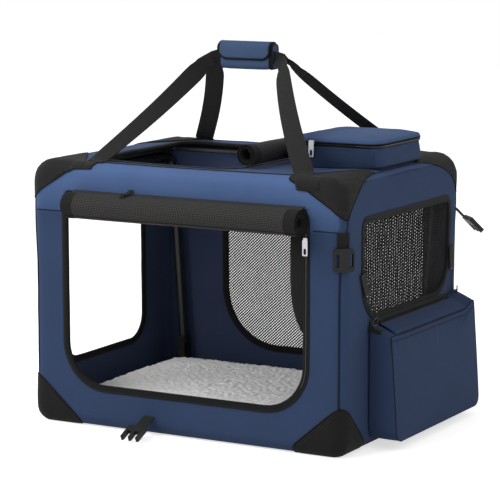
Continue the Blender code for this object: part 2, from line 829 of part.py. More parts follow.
def clip(name, side_x, y, crossbar_z):
    """A snap clip on the top frame's end rail, whose jaw holds a hoop's crossbar and opens inwards."""
    x = side_x * RAIL_END_X
    bore = TUBE_RADIUS + GAP
    outer = bore + CLIP_WALL
    low, high = crossbar_z - outer, TOP_RAIL_Z + outer
    left, right = sorted((x - side_x * (TUBE_RADIUS + CLIP_LIP - CLIP_WALL), x + side_x * outer))
    outline = rounded(left, right, low, high, CLIP_WALL, outer, 6)
    obj = plate(name, [outline], CLIP_WIDTH, "XZ", (0.0, y, 0.0))
    long = 2 * CLIP_WIDTH
    cut(obj, rod(f"{name}_rail_bore", bore, long, "Y", (x, y, TOP_RAIL_Z), 24))
    cut(obj, rod(f"{name}_jaw", bore, long, "Y", (x, y, crossbar_z), 24))
    mouth_low, mouth_high = sorted((x, x - side_x * 2 * outer))
    mouth = block(
        f"{name}_mouth",
        (mouth_low, y - CLIP_WIDTH, crossbar_z - bore),
        (mouth_high, y + CLIP_WIDTH, crossbar_z + bore),
    )
    cut(obj, mouth)
    return keep(obj, "plastic")


def make_frame():
    """The steel frame: two rectangles, two hoops, brackets, clips and a sliding sleeve."""
    rectangle_frame("bottom_frame", BOTTOM_RAIL_Z)
    rectangle_frame("top_frame", TOP_RAIL_Z)
    left = hoop("left_hoop", -1, UPPER_LEG_Y, UPPER_PIVOT_Z, UPPER_CROSSBAR_Z)
    right = hoop("right_hoop", 1, LOWER_LEG_Y, LOWER_PIVOT_Z, LOWER_CROSSBAR_Z)
    carry("left_fold_axis", (-PIVOT_X, 0.0, UPPER_PIVOT_Z), [left])
    carry("right_fold_axis", (PIVOT_X, 0.0, LOWER_PIVOT_Z), [right])
    for side, side_y in (("front", -1), ("rear", 1)):
        bracket(f"left_bracket_{side}", -1, side_y, UPPER_LEG_Y, UPPER_PIVOT_Z)
        bracket(f"right_bracket_{side}", 1, side_y, LOWER_LEG_Y, LOWER_PIVOT_Z)
        spread = HOOP_CORNER_RADIUS + CLIP_INSET
        clip(f"left_clip_{side}", -1, side_y * (UPPER_LEG_Y - spread), UPPER_CROSSBAR_Z)
        clip(f"right_clip_{side}", 1, side_y * (LOWER_LEG_Y - spread), LOWER_CROSSBAR_Z)
    sleeve = rod(
        "crossbar_sleeve",
        SLEEVE_RADIUS,
        SLEEVE_LENGTH,
        "Y",
        (RAIL_END_X, 0.0, LOWER_CROSSBAR_Z),
        24,
    )
    bore = TUBE_RADIUS + GAP
    middle = (RAIL_END_X, 0.0, LOWER_CROSSBAR_Z)
    cut(sleeve, rod("crossbar_sleeve_bore", bore, 2 * SLEEVE_LENGTH, "Y", middle, 24))
    smooth(keep(sleeve, "plastic"))


def make_pad():
    """The fleece pad on the floor, crowned on top and drawn in at its sides."""
    half_x = RAIL_END_X - TUBE_RADIUS - PAD_SIDE_GAP
    half_y = RAIL_Y - TUBE_RADIUS - PAD_SIDE_GAP
    low = CLOTH + GAP
    thick = PAD_TOP - low
    mesh = bpy.data.meshes.new("fleece_pad")
    work = bmesh.new()
    bmesh.ops.create_cube(work, size=2.0)
    bmesh.ops.subdivide_edges(work, edges=work.edges, cuts=PAD_CUTS, use_grid_fill=True)
    for vert in work.verts:
        u, v, w = vert.co
        flat = (1 - u**4) * (1 - v**4)
        high = thick * (PAD_EDGE_SHARE + (1 - PAD_EDGE_SHARE) * flat)
        round_in = 1 - w**4
        vert.co.x = (half_x - PAD_DRAW_IN * (1 - round_in) - PAD_DRAW_IN * v**4 / 2) * u
        vert.co.y = (half_y - PAD_DRAW_IN * (1 - round_in) - PAD_DRAW_IN * u**4 / 2) * v
        vert.co.z = high * (1 + w) / 2
    work.to_mesh(mesh)
    work.free()
    obj = bpy.data.objects.new("fleece_pad", mesh)
    obj.location = (0.0, 0.0, low)
    for side_y in (-1, 1):
        inner = LOWER_LEG_Y - TUBE_RADIUS - BRACKET_PLATE - RIVET_HEAD - PAD_SIDE_GAP
        low_y, high_y = sorted((side_y * inner, side_y * HALF_WIDTH))
        half = BRACKET_WIDTH / 2 + PAD_SIDE_GAP
        notch = block(
            f"pad_notch_{'front' if side_y < 0 else 'rear'}",
            (PIVOT_X - half, low_y, -OVERRUN),
            (HALF_LENGTH, high_y, HEIGHT / 2),
        )
        cut(obj, notch)
    return smooth(keep(obj, "fleece"))


def pouch_outline(grow=0.0):
    """The roof pouch seen from above."""
    return rounded(
        POUCH_LEFT - grow,
        POUCH_LEFT + POUCH_LENGTH + grow,
        POUCH_FRONT - grow,
        POUCH_FRONT + POUCH_WIDTH + grow,
        POUCH_CORNER_RADIUS + grow,
        POUCH_CORNER_RADIUS + grow,
    )


DOME_SHARES = ((1.0, 0.0), (0.985, 0.35), (0.92, 0.68), (0.75, 0.90), (0.45, 0.98))


def make_pouch():
    """The storage pouch on the roof, its hinged lid and the slider of its zip."""
    floor_z = HEIGHT + GAP
    rim_z = floor_z + POUCH_HEIGHT
    body = plate(
        "pouch_body",
        [pouch_outline()],
        POUCH_HEIGHT,
        "XY",
        (0.0, 0.0, floor_z + POUCH_HEIGHT / 2),
    )
    inner = plate(
        "pouch_inside",
        [pouch_outline(-POUCH_WALL)],
        POUCH_HEIGHT,
        "XY",
        (0.0, 0.0, floor_z + POUCH_HEIGHT / 2 + POUCH_WALL),
    )
    smooth(keep(cut(body, inner), "oxford"))

    middle = Vector((POUCH_LEFT + POUCH_LENGTH / 2, POUCH_FRONT + POUCH_WIDTH / 2))
    mesh = bpy.data.meshes.new("pouch_lid")
    work = bmesh.new()
    rings = [[(u, v, rim_z + GAP) for u, v in pouch_outline()]]
    for spread, lift in DOME_SHARES:
        ring = []
        for u, v in pouch_outline():
            place = middle + (Vector((u, v)) - middle) * spread
            ring.append((place.x, place.y, rim_z + GAP + POUCH_LID_SKIRT + POUCH_LID_CROWN * lift))
        rings.append(ring)
    rows = [[work.verts.new(p) for p in ring] for ring in rings]
    for low, high in zip(rows, rows[1:]):
        for i in range(len(low)):
            k = (i + 1) % len(low)
            work.faces.new((low[i], low[k], high[k], high[i]))
    crown = work.verts.new((middle.x, middle.y, rim_z + GAP + POUCH_LID_SKIRT + POUCH_LID_CROWN))
    top = rows[-1]
    for i in range(len(top)):
        work.faces.new((top[i], top[(i + 1) % len(top)], crown))
    work.to_mesh(mesh)
    work.free()
    lid = bpy.data.objects.new("pouch_lid", mesh)
    solid = lid.modifiers.new("cloth", "SOLIDIFY")
    solid.thickness = POUCH_WALL
    solid.offset = -1.0
    solid.use_even_offset = True
    smooth(keep(lid, "oxford"))
    hinge = (0.0, POUCH_FRONT + POUCH_WIDTH, rim_z)
    carry("pouch_lid_axis", hinge, [lid])

    start_x = POUCH_LEFT + POUCH_LENGTH * SLIDER_START_SHARE
    slide_y = POUCH_FRONT - GAP
    slider = zip_slider("pouch_zip_slider", (start_x, slide_y, rim_z), "X")
    carry("pouch_zip_start", (start_x, slide_y, rim_z), [slider])


def zip_slider(name, at, along):
    """A zip slider with its hanging pull, on the outside of a seam that faces -Y."""
    x, y, z = at
    half_l, half_w = SLIDER_LENGTH / 2, SLIDER_WIDTH / 2
    spread = (half_l, half_w) if along == "X" else (half_w, half_l)
    outline = rounded(
        x - spread[0], x + spread[0], z - spread[1], z + spread[1], half_w / 2, half_w / 2, 2
    )
    obj = plate(name, [outline], SLIDER_DEPTH, "XZ", (0.0, y - SLIDER_DEPTH / 2, 0.0))
    bridge_y = y - SLIDER_DEPTH
    half_p = PULL_WIDTH / 2
    low = z - PULL_LENGTH
    pull = plate(
        f"{name}_pull",
        [
            rounded(x - half_p, x + half_p, low, z + half_w / 2, half_p / 3, half_p / 3, 2),
            rounded(
                x - half_p / 2,
                x + half_p / 2,
                low + half_p / 2,
                low + PULL_LENGTH / 2,
                half_p / 4,
                half_p / 4,
                1,
            ),
        ],
        PULL_THICKNESS,
        "XZ",
        (0.0, bridge_y - PULL_THICKNESS / 2 + GAP, 0.0),
    )
    cut(obj, pull, "UNION")
    return keep(obj, "nickel")


def strap_line(side_y):
    """The middle line of one handle strap, with the way its width points at each place."""
    foot_z = HEIGHT + GAP + WEBBING / 2
    foot_y = side_y * (HALF_WIDTH - STRAP_FOOT_INSET)
    grip_z = HEIGHT + HANDLE_HEIGHT
    grip_y = side_y * STRAP_SPACING / 2
    bend_x = WRAP_LENGTH / 2 + STRAP_BEND_RADIUS / 2
    foot = Vector((-STRAP_FOOT_X, foot_y, foot_z))
    turn = Vector((-bend_x, grip_y, grip_z))
    line = [Vector((-STRAP_FOOT_X, foot_y + side_y * STRAP_TAIL, foot_z)), foot]
    line += [foot.lerp(turn, i / STRAP_STEPS) for i in range(1, STRAP_STEPS)]
    corner = bend([line[-1], turn, Vector((0.0, grip_y, grip_z))], STRAP_BEND_RADIUS)
    line += corner[1:-1]
    widths = []
    slope = (turn - foot).length
    for i, place in enumerate(line):
        share = min(1.0, (place - foot).length / slope) if i > 1 else 0.0
        quarter = share * math.pi / 2
        way = Vector((-math.cos(quarter), 0.0, math.sin(quarter)))
        widths.append(way * WEBBING_WIDTH / 2)
    far = [Vector((-p.x, p.y, p.z)) for p in reversed(line)]
    far_widths = [Vector((-w.x, w.y, w.z)) for w in reversed(widths)]
    return line + far, widths + far_widths


def make_handle():
    """Two webbing loops that meet in a padded grip wrap with a closing flap."""
    for side, side_y in (("front", -1), ("rear", 1)):
        line, widths = strap_line(side_y)
        keep(strip(f"handle_strap_{side}", line, widths, WEBBING), "webbing")
    grip = (0.0, 0.0, HEIGHT + HANDLE_HEIGHT)
    half_d, half_h = WRAP_DEPTH / 2, WRAP_HEIGHT / 2
    radius = WRAP_CORNER_RADIUS
    outer = rounded(-half_d, half_d, -half_h, half_h, radius, radius)
    slot_d, slot_h = WRAP_SLOT_DEPTH / 2, WRAP_SLOT_HEIGHT / 2
    slot = rounded(-slot_d, slot_d, -slot_h, slot_h, radius / 3, radius / 3, 2)
    wrap = smooth(keep(plate("handle_wrap", [outer, slot], WRAP_LENGTH, "YZ", grip), "oxford"))
    near, far = GAP, GAP + WRAP_FLAP
    tip = half_h - WRAP_FLAP_DROP
    centres = ((half_d - radius, half_h - radius), (radius - half_d, half_h - radius))
    outline = arc(centres[0], radius + far, 45, 90, 3) + arc(centres[1], radius + far, 90, 180)
    outline += [(-half_d - far, tip), (-half_d - near, tip)]
    outline += arc(centres[1], radius + near, 180, 90) + arc(centres[0], radius + near, 90, 45, 3)
    length = WRAP_LENGTH * WRAP_FLAP_SHARE
    flap = smooth(keep(plate("handle_flap", [outline], length, "YZ", grip), "oxford"))
    reach = (radius + far) * math.sin(math.radians(45))
    hinge = (0.0, centres[0][0] + reach, grip[2] + centres[0][1] + reach)
    carry("handle_flap_axis", hinge, [flap])
    carry("handle_grip", grip, [wrap])


def pocket_prism(name, inset):
    """The pocket's plan as a tall solid, drawn in by the thickness of its wall."""
    back_x = HALF_LENGTH + POCKET_STANDOFF + inset
    front_x = HALF_LENGTH + POCKET_STANDOFF + POCKET_DEPTH - inset
    low_y, high_y = POCKET_FRONT + inset, POCKET_FRONT + POCKET_WIDTH - inset
    radius = POCKET_CORNER_RADIUS - inset
    outline = [(back_x, low_y)]
    outline += arc((front_x - radius, low_y + radius), radius, -90, 0)
    outline += arc((front_x - radius, high_y - radius), radius, 0, 90)
    outline += [(back_x, high_y)]
    return plate(name, [outline], 2 * HEIGHT, "XY")


def pocket_block(name, inset, lower_top):
    """The pocket's side view as a solid across its whole width, with a round lower edge."""
    back_x = HALF_LENGTH + POCKET_STANDOFF + inset
    front_x = HALF_LENGTH + POCKET_STANDOFF + POCKET_DEPTH - inset
    radius = POCKET_BELLY_RADIUS - inset
    low = POCKET_BOTTOM + inset
    outline = [(back_x, low)]
    outline += arc((front_x - radius, low + radius), radius, -90, 0)
    outline += [(front_x, POCKET_FRONT_TOP - lower_top), (back_x, POCKET_BACK_TOP - lower_top)]
    middle = POCKET_FRONT + POCKET_WIDTH / 2
    return plate(name, [outline], POCKET_WIDTH, "XZ", (0.0, middle, 0.0))


def make_pocket():
    """The side pocket, its sloping lid, and the straps, hooks and rings it hangs by."""
    body = pocket_block("pocket_body", 0.0, 0.0)
    cut(body, pocket_prism("pocket_plan", 0.0), "INTERSECT")
    hollow = pocket_block("pocket_hollow", POCKET_WALL, POCKET_LID)
    cut(hollow, pocket_prism("pocket_hollow_plan", POCKET_WALL), "INTERSECT")
    cut(body, hollow)
    back_x = HALF_LENGTH + POCKET_STANDOFF
    front_x = back_x + POCKET_DEPTH - 2 * POCKET_WALL
    near_y = POCKET_FRONT + POCKET_MOUTH_INSET
    far_y = POCKET_FRONT + POCKET_WIDTH - POCKET_MOUTH_INSET
    low_z, high_z = POCKET_FRONT_TOP - OVERRUN, POCKET_BACK_TOP + OVERRUN
    back_wall = back_x + POCKET_WALL
    cut(body, block("pocket_mouth", (back_wall, near_y, low_z), (front_x, far_y, high_z)))
    smooth(keep(body, "oxford"))
    lid = pocket_block("pocket_lid", 0.0, 0.0)
    cut(lid, pocket_block("pocket_lid_under", 0.0, POCKET_LID))
    room = block(
        "pocket_lid_room",
        (back_wall + GAP, near_y + GAP, low_z),
        (front_x - GAP, far_y - GAP, high_z),
    )
    cut(lid, room, "INTERSECT")
    keep(lid, "oxford")
    slope = (POCKET_BACK_TOP - POCKET_FRONT_TOP) / POCKET_DEPTH
    hinge_z = POCKET_FRONT_TOP + slope * 2 * POCKET_WALL
    carry("pocket_lid_axis", (front_x - GAP, (near_y + far_y) / 2, hinge_z), [lid])
    hanger("front", FRONT_HANGER_Y, FRONT_HANGER_LEAN)
    hanger("rear", REAR_HANGER_Y, REAR_HANGER_LEAN)


def hanger(side, y, lean):
    """A strap on the end wall that leans along it, with a wire hook through a ring."""
    root_x = HALF_LENGTH + HANGER_STANDOFF + SHORT_STRAP / 2
    swing = Matrix.Rotation(math.radians(lean), 4, "X")
    move = Matrix.Translation((root_x, y, HANGER_TOP)) @ swing
    half = HANGER_WIDTH / 2
    outline = [(-half, -HANGER_LENGTH), (half, -HANGER_LENGTH), (half, 0.0), (-half, 0.0)]
    strap = plate(f"hanger_strap_{side}", [outline], SHORT_STRAP, "YZ")
    strap.matrix_world = move @ strap.matrix_world
    keep(strap, "webbing")
    top = -HANGER_LENGTH - GAP - WIRE_RADIUS
    slope = (POCKET_BACK_TOP - POCKET_FRONT_TOP) / POCKET_DEPTH
    ring_x = root_x + HOOK_RADIUS - WIRE_RADIUS
    seat_z = POCKET_BACK_TOP - slope * (ring_x - HALF_LENGTH - POCKET_STANDOFF)
    eye_z = seat_z + GAP + WIRE_RADIUS + RING_HEIGHT
    turn = (eye_z - HANGER_TOP) / math.cos(math.radians(lean))
    line = bend(
        [
            (0.0, -HOOK_LOOP_HALF_WIDTH, top),
            (0.0, HOOK_LOOP_HALF_WIDTH, top),
            (0.0, 0.0, top - HOOK_LOOP_HEIGHT),
            (0.0, 0.0, turn),
        ],
        HOOK_LOOP_RADIUS,
        3,
    )
    for u, v in arc((HOOK_RADIUS, turn), HOOK_RADIUS, 180, 360)[1:]:
        line.append(Vector((u, 0.0, v)))
    line.append(Vector((2 * HOOK_RADIUS, 0.0, turn + HOOK_TIP)))
    hook = tube(f"snap_hook_{side}", line, WIRE_RADIUS, resolution=1)
    hook.matrix_world = move
    smooth(keep(hook, "steel"), 60)
    eye = move @ Vector((HOOK_RADIUS, 0.0, turn))
    corners = [
        (0.0, -RING_HALF_WIDTH, -RING_HEIGHT),
        (0.0, RING_HALF_WIDTH, -RING_HEIGHT),
        (0.0, RING_HALF_WIDTH, 0.0),
        (0.0, -RING_HALF_WIDTH, 0.0),
    ]
    loop = bend(corners, RING_HEIGHT / 3, 3, cyclic=True)
    ring = tube(f"pocket_ring_{side}", loop, WIRE_RADIUS, cyclic=True, resolution=1)
    ring.location = eye
    smooth(keep(ring, "steel"), 60)


def buckle_outlines(kind, start):
    """The outlines of a snap buckle's half, from the end of its strap downwards."""
    half = BUCKLE_WIDTH / 2
    radius = BUCKLE_CORNER_RADIUS
    if kind == "female":
        low = start - BUCKLE_LENGTH
        outer = rounded(-half, half, low, start, radius, radius, 3)
        holes = []
        for side in (-1, 1):
            near, far = sorted((side * half / 2, side * (half - radius / 2)))
            holes.append(
                [
                    (near, low + 2 * radius),
                    (far, low + 2 * radius),
                    (far, start - 2 * radius),
                    (near, start - 2 * radius),
                ]
            )
        return [outer, *holes]
    low = start - BUCKLE_BODY
    outline = [(half, low), (half, start), (-half, start), (-half, low)]
    for middle in (PRONG_WIDTH / 2 - half, 0.0, half - PRONG_WIDTH / 2):
        narrow = PRONG_WIDTH / 2
        outline += [(middle - narrow, low)]
        outline += arc((middle, low - PRONG_LENGTH + narrow), narrow, 180, 360, 4)
        outline += [(middle + narrow, low)]
    return [outline]


def short_strap(name, kind, root, facing, swing, length):
    """A short strap and its buckle half, hanging from a root on the wall that faces a bearing."""
    tilt = (math.pi / 2 - math.radians(swing), 0.0, math.radians(facing))
    turn = Matrix.Translation(root)
    for angle, axis in ((tilt[2], "Z"), (tilt[0], "X")):
        turn = turn @ Matrix.Rotation(angle, 4, axis)
    half = SHORT_STRAP_WIDTH / 2
    outline = [(-half, -length), (half, -length), (half, 0.0), (-half, 0.0)]
    strap = plate(f"{name}_strap", [outline], SHORT_STRAP, "XY", (0.0, 0.0, SHORT_STRAP / 2))
    strap.matrix_world = turn @ strap.matrix_world
    keep(strap, "webbing")
    outlines = buckle_outlines(kind, -length - GAP)
    middle = (0.0, 0.0, BUCKLE_DEPTH / 2)
    buckle = plate(f"{name}_buckle", outlines, BUCKLE_DEPTH, "XY", middle)
    buckle.matrix_world = turn @ buckle.matrix_world
    keep(buckle, "plastic")


def make_short_straps():
    """The three short straps that hold the folded crate shut."""
    out = HALF_WIDTH + GAP
    short_strap(
        "front",
        "male",
        (FRONT_STRAP_X, -out, FRONT_STRAP_HEIGHT),
        0.0,
        FRONT_STRAP_SWING,
        FRONT_STRAP_LENGTH,
    )
    flat_of_rim = RIM_RADIUS * math.cos(math.pi / 4 / RIM_STEPS)
    reach = (flat_of_rim + GAP) * math.sin(math.pi / 4)
    corner_x, corner_y = HALF_LENGTH - RIM_RADIUS + reach, HALF_WIDTH - RIM_RADIUS + reach
    short_strap(
        "corner",
        "female",
        (corner_x, -corner_y, CORNER_STRAP_Z),
        45.0,
        0.0,
        CORNER_STRAP_LENGTH,
    )
    short_strap(
        "rear",
        "male",
        (corner_x, corner_y, REAR_STRAP_Z),
        135.0,
        REAR_STRAP_SWING,
        REAR_STRAP_LENGTH,
    )
    seam_x = DOOR_HALF_WIDTH + BINDING_WIDTH / 2
    slide = (seam_x, -HALF_WIDTH - 2 * GAP - BINDING_CLOTH, DOOR_SLIDER_Z)
    slider = zip_slider("door_zip_slider", slide, "Z")
    carry("door_zip_start", slide, [slider])


def make_parts():
    """Build every piece of the crate."""
    clear_scene()
    make_body_cutters()
    make_panels()
    make_bindings()
    make_nets()
    make_rolls()
    make_patches()
    make_frame()
    make_pad()
    make_pouch()
    make_handle()
    make_pocket()
    make_short_straps()


make_parts()
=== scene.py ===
"""A soft folding crate with rolled doors, net windows, a fleece pad, a roof pouch and a side pocket."""
import math

import bmesh
import bpy
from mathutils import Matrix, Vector, noise
from mathutils.geometry import delaunay_2d_cdt


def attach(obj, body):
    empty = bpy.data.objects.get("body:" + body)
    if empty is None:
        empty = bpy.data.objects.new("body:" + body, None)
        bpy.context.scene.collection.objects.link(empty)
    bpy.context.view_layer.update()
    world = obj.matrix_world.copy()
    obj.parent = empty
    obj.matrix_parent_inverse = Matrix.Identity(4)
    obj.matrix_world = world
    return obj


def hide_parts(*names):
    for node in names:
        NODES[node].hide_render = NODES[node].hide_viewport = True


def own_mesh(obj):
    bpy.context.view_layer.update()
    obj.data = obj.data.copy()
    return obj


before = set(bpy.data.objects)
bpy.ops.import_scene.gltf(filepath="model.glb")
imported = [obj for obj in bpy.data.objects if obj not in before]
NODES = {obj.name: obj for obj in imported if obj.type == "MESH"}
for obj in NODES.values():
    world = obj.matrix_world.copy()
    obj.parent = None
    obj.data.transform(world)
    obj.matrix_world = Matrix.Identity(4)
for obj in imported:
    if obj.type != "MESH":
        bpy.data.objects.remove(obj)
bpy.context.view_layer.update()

# The sewn body, as in the CAD model, in metres
HALF_LENGTH, HALF_WIDTH, HEIGHT = 0.350, 0.260, 0.530
TOP_RADIUS, LOW_RADIUS, RIM = 0.045, 0.030, 0.024
MIDDLE_Z = 0.265
CLOTH, SOFT_CLOTH, BAND_CLOTH = 0.003, 0.0022, 0.0016
SEAM_X = 0.338
CUT_Y = HALF_WIDTH - RIM
STEP = 0.010
# How far the skin's triangles may lie outside its outline or inside an opening, and what is welded
OUTLINE_SLACK, OPENING_SLACK, WELD, PATCH_WELD = 0.0005, 0.0002, 0.0004, 0.00005
# Each opening: low and high edge along its wall, low and high edge up it, low and high corner radius
OPENINGS = {
    "front": (-0.264, 0.264, 0.086, 0.468, 0.085, 0.004),
    "rear": (-0.192, 0.272, 0.088, 0.440, 0.120, 0.015),
    "left": (-0.152, 0.152, 0.104, 0.438, 0.050, 0.004),
    "right": (-0.175, 0.205, 0.257, 0.438, 0.070, 0.012),
    "roof": (-0.255, 0.070, -0.190, 0.190, 0.045, 0.045),
}

# Materials
CLOTH_SPECULAR = 0.12
STITCH_PITCH, STITCH_SHARE, STITCH_HALF = 0.0042, 0.72, 0.00038
NET_OPEN, TONE_SPREAD = 0.12, 1.6
SCRATCH_LEVEL, SCRATCH_STRENGTH = 0.66, 0.15


class Nodes:
    """A node tree, with short calls that add nodes and fill their inputs."""

    def __init__(self, tree):
        self.tree = tree

    def fill(self, socket, value):
        """Link an output to an input, or set the input; None leaves it as it is."""
        if isinstance(value, bpy.types.NodeSocket):
            self.tree.links.new(value, socket)
        elif value is not None:
            socket.default_value = (*value, 1.0) if socket.type == "RGBA" else value

    def add(self, kind, *inputs, settings=None, **named):
        """A node with its properties set and its inputs filled, in order or by name."""
        node = self.tree.nodes.new(f"ShaderNode{kind}")
        for key, value in (settings or {}).items():
            setattr(node, key, value)
        for socket, value in zip(node.inputs, inputs):
            self.fill(socket, value)
        for key, value in named.items():
            self.fill(node.inputs[key], value)
        return node

    def maths(self, operation, a, b=None, clamp=False):
        return self.add("Math", a, b, settings={"operation": operation, "use_clamp": clamp}).outputs[0]

    def plus(self, a, b):
        return self.maths("ADD", a, b)

    def times(self, a, b):
        return self.maths("MULTIPLY", a, b)

    def wave(self, place, pitch):
        return self.maths("SINE", self.times(place, 2 * math.pi / pitch))

    def mix(self, factor, a, b):
        """One colour turned into another by a factor."""
        node = self.add("Mix", settings={"data_type": "RGBA", "clamp_factor": True})
        for place, value in ((0, factor), (6, a), (7, b)):
            self.fill(node.inputs[place], value)
        return node.outputs[2]

    def seen(self):
        """1 for rays from the camera, straight or by way of metal or glass, and 0 for other light."""
        rays = self.add("LightPath").outputs
        bent = self.plus(rays["Is Glossy Ray"], rays["Is Transmission Ray"])
        return self.maths("ADD", rays["Is Camera Ray"], bent, clamp=True)


class Finish(Nodes):
    """A new material with its Principled shader."""

    def __init__(self, name, colour, roughness, metallic=0.0, sheen=0.0, specular=0.5):
        self.material = bpy.data.materials.new(name)
        self.material.use_nodes = True
        self.material.diffuse_color = (*colour, 1.0)
        super().__init__(self.material.node_tree)
        self.point = self.add("TexCoord").outputs["Object"]
        self.set("Base Color", colour)
        self.set("Roughness", roughness)
        self.set("Metallic", metallic)
        self.set("Specular IOR Level", specular)
        if sheen:
            self.set("Sheen Weight", sheen)
            self.set("Sheen Roughness", 0.5)

    def set(self, name, value):
        self.fill(self.tree.nodes["Principled BSDF"].inputs[name], value)

    def grain(self, scale, detail, place=None, **more):
        """Noise over the object's own space, or over another place."""
        place = self.point if place is None else place
        return self.add("TexNoise", Vector=place, Scale=scale, Detail=detail, **more).outputs[0]

    def relief(self, height, strength, distance):
        """The last step of a material: its bump."""
        bump = self.add("Bump", Strength=strength, Distance=distance, Height=height)
        self.set("Normal", bump.outputs[0])
        return self.material


def tint(colour, times, plus=0.0):
    """A colour made lighter or darker."""
    return tuple(min(1.0, c * times + plus) for c in colour)


def woven(name, colour, pitch, depth, roughness=0.85, sheen=0.02, rows=(), thread=None, rib=0.0, wear=0.10,
          strand=None):
    """Cloth with a basket weave from its UVs in metres, cloudy tone, and rows of stitches at given V.

    With a strand colour it is a net that lies in layers, its weave set crosswise.
    """
    make = Finish(name, colour, roughness, sheen=sheen, specular=CLOTH_SPECULAR)
    u, v = make.add("SeparateXYZ", make.add("UVMap").outputs[0]).outputs[:2]
    first, second = (make.plus(u, v), make.maths("SUBTRACT", u, v)) if strand else (u, v)
    weave = make.times(make.wave(first, pitch), make.wave(second, pitch))
    cloud = make.grain(9.0, 4.0, Roughness=0.6)
    fuzz = make.grain(420.0, 2.0)
    height = make.plus(make.times(weave, 0.5), make.times(fuzz, 0.5))
    if rib:
        height = make.plus(height, make.times(make.wave(v, rib), 0.8))
    cloth = make.mix(cloud, tint(colour, 1 - TONE_SPREAD * wear), tint(colour, 1 + TONE_SPREAD * wear))
    cloth = make.mix(make.times(make.plus(weave, 1.0), 0.10), cloth, tint(colour, 0.55))
    # The tone attribute scales the colour: painted light or painted shade on some pieces, 1 on the rest
    tone = make.add("Attribute", settings={"attribute_name": "tone"}).outputs["Fac"]
    cloth = make.add("VectorMath", cloth, Scale=tone, settings={"operation": "SCALE"}).outputs[0]
    if strand:
        cloth = make.mix(make.maths("GREATER_THAN", weave, NET_OPEN), cloth, strand)
    if rows:
        dash = make.maths("FRACT", make.maths("DIVIDE", u, STITCH_PITCH))
        dash = make.maths("LESS_THAN", dash, STITCH_SHARE)
        stitches = 0.0
        for row in rows:
            gap = make.maths("ABSOLUTE", make.maths("SUBTRACT", v, row))
            near = make.times(make.maths("LESS_THAN", gap, STITCH_HALF), dash)
            stitches = make.maths("MAXIMUM", stitches, near)
        cloth = make.mix(stitches, cloth, thread or tint(colour, 2.1, 0.012))
        height = make.plus(height, make.times(stitches, 2.2))
    make.set("Base Color", cloth)
    make.set("Roughness", make.plus(make.times(cloud, 0.12), roughness - 0.06))
    return make.relief(height, depth, 0.0004)


def solid_finish(name, colour, roughness, metallic, grain, depth, specular=0.5):
    """Moulded, coated or plated stock: fine grain, cloudy sheen and slight scratches."""
    make = Finish(name, colour, roughness, metallic, specular=specular)
    cloud = make.grain(24.0, 5.0, Roughness=0.7)
    drawn = make.add("Mapping", Vector=make.point, Scale=(30.0, 260.0, 60.0)).outputs[0]
    marks = make.maths("GREATER_THAN", make.grain(3.0, 2.0, drawn), SCRATCH_LEVEL)
    base = make.mix(make.times(cloud, 0.5), colour, tint(colour, 1.5, 0.01))
    make.set("Base Color", make.mix(make.times(marks, SCRATCH_STRENGTH), base, tint(colour, 2.2, 0.03)))
    make.set("Roughness", make.plus(make.times(cloud, 0.22), roughness - 0.11))
    return make.relief(make.grain(grain, 3.0), depth, 0.0003)


def fleece_finish():
    """Short curly pile, from two sizes of noise."""
    make = Finish("fleece_pile", (0.62, 0.62, 0.60), 0.95, sheen=0.35, specular=0.1)
    big = make.grain(42.0, 4.0, Roughness=0.7)
    small = make.grain(190.0, 5.0, Roughness=0.7, Distortion=1.5)
    height = make.plus(make.times(big, 1.3), small)
    make.set("Base Color", make.mix(make.times(height, 0.55), (0.80, 0.80, 0.785), (0.99, 0.99, 0.97)))
    return make.relief(height, 0.75, 0.003)


NAVY = (0.030, 0.052, 0.113)
DEEP = (0.032, 0.045, 0.092)
BLACK = (0.0045, 0.0045, 0.0048)
MAT = {
    "oxford": woven("oxford_cloth", NAVY, 0.0013, 0.30),
    "inside": woven("oxford_backing", DEEP, 0.0013, 0.22, 0.9),
    "tape": woven("binding_tape", BLACK, 0.0010, 0.35, 0.75, 0.03, rows=(0.0090, 0.0112), rib=0.0016),
    "patch": woven("patch_cloth", (0.0170, 0.0166, 0.0162), 0.0016, 0.45, rows=(0.0035, 0.0085),
                   thread=(0.034, 0.033, 0.032)),
    "piping": woven("piping_cloth", (0.006, 0.008, 0.014), 0.0012, 0.3, sheen=0.03),
    "black_piping": woven("black_piping_cloth", BLACK, 0.0012, 0.3, sheen=0.03),
    "webbing": woven("webbing_cloth", (0.0115, 0.0112, 0.0108), 0.0018, 0.9, 0.7, 0.05, rib=0.0024),
    "net": woven("net_strand", (0.006, 0.006, 0.006), 0.0009, 0.5, 0.6, 0.03),
    "roll": woven("rolled_net", (0.0080, 0.0078, 0.0076), 0.0074, 1.0, 0.7, wear=0.14,
                  strand=(0.058, 0.056, 0.054)),
    "hem": woven("roll_hem", (0.0120, 0.0117, 0.0114), 0.0010, 0.35, rows=(0.003, 0.012)),
    "handle": woven("handle_cloth", (0.050, 0.085, 0.165), 0.0013, 0.3),
    "pocket": woven("pocket_cloth", (0.027, 0.046, 0.102), 0.0013, 0.30),
    "zip": woven("zip_tape", BLACK, 0.0014, 0.8, 0.55, rib=0.0022),
    "fleece": fleece_finish(),
    "steel": solid_finish("coated_steel", (0.012, 0.012, 0.013), 0.38, 0.3, 900.0, 0.12),
    "plastic": solid_finish("black_plastic", (0.008, 0.008, 0.0085), 0.48, 0.0, 1300.0, 0.15, 0.2),
    "nickel": solid_finish("nickel_plate", (0.40, 0.40, 0.42), 0.28, 1.0, 700.0, 0.05),
    "nickel_dull": solid_finish("zip_teeth_coat", (0.020, 0.020, 0.022), 0.35, 0.3, 700.0, 0.1),
}

# Mesh helpers


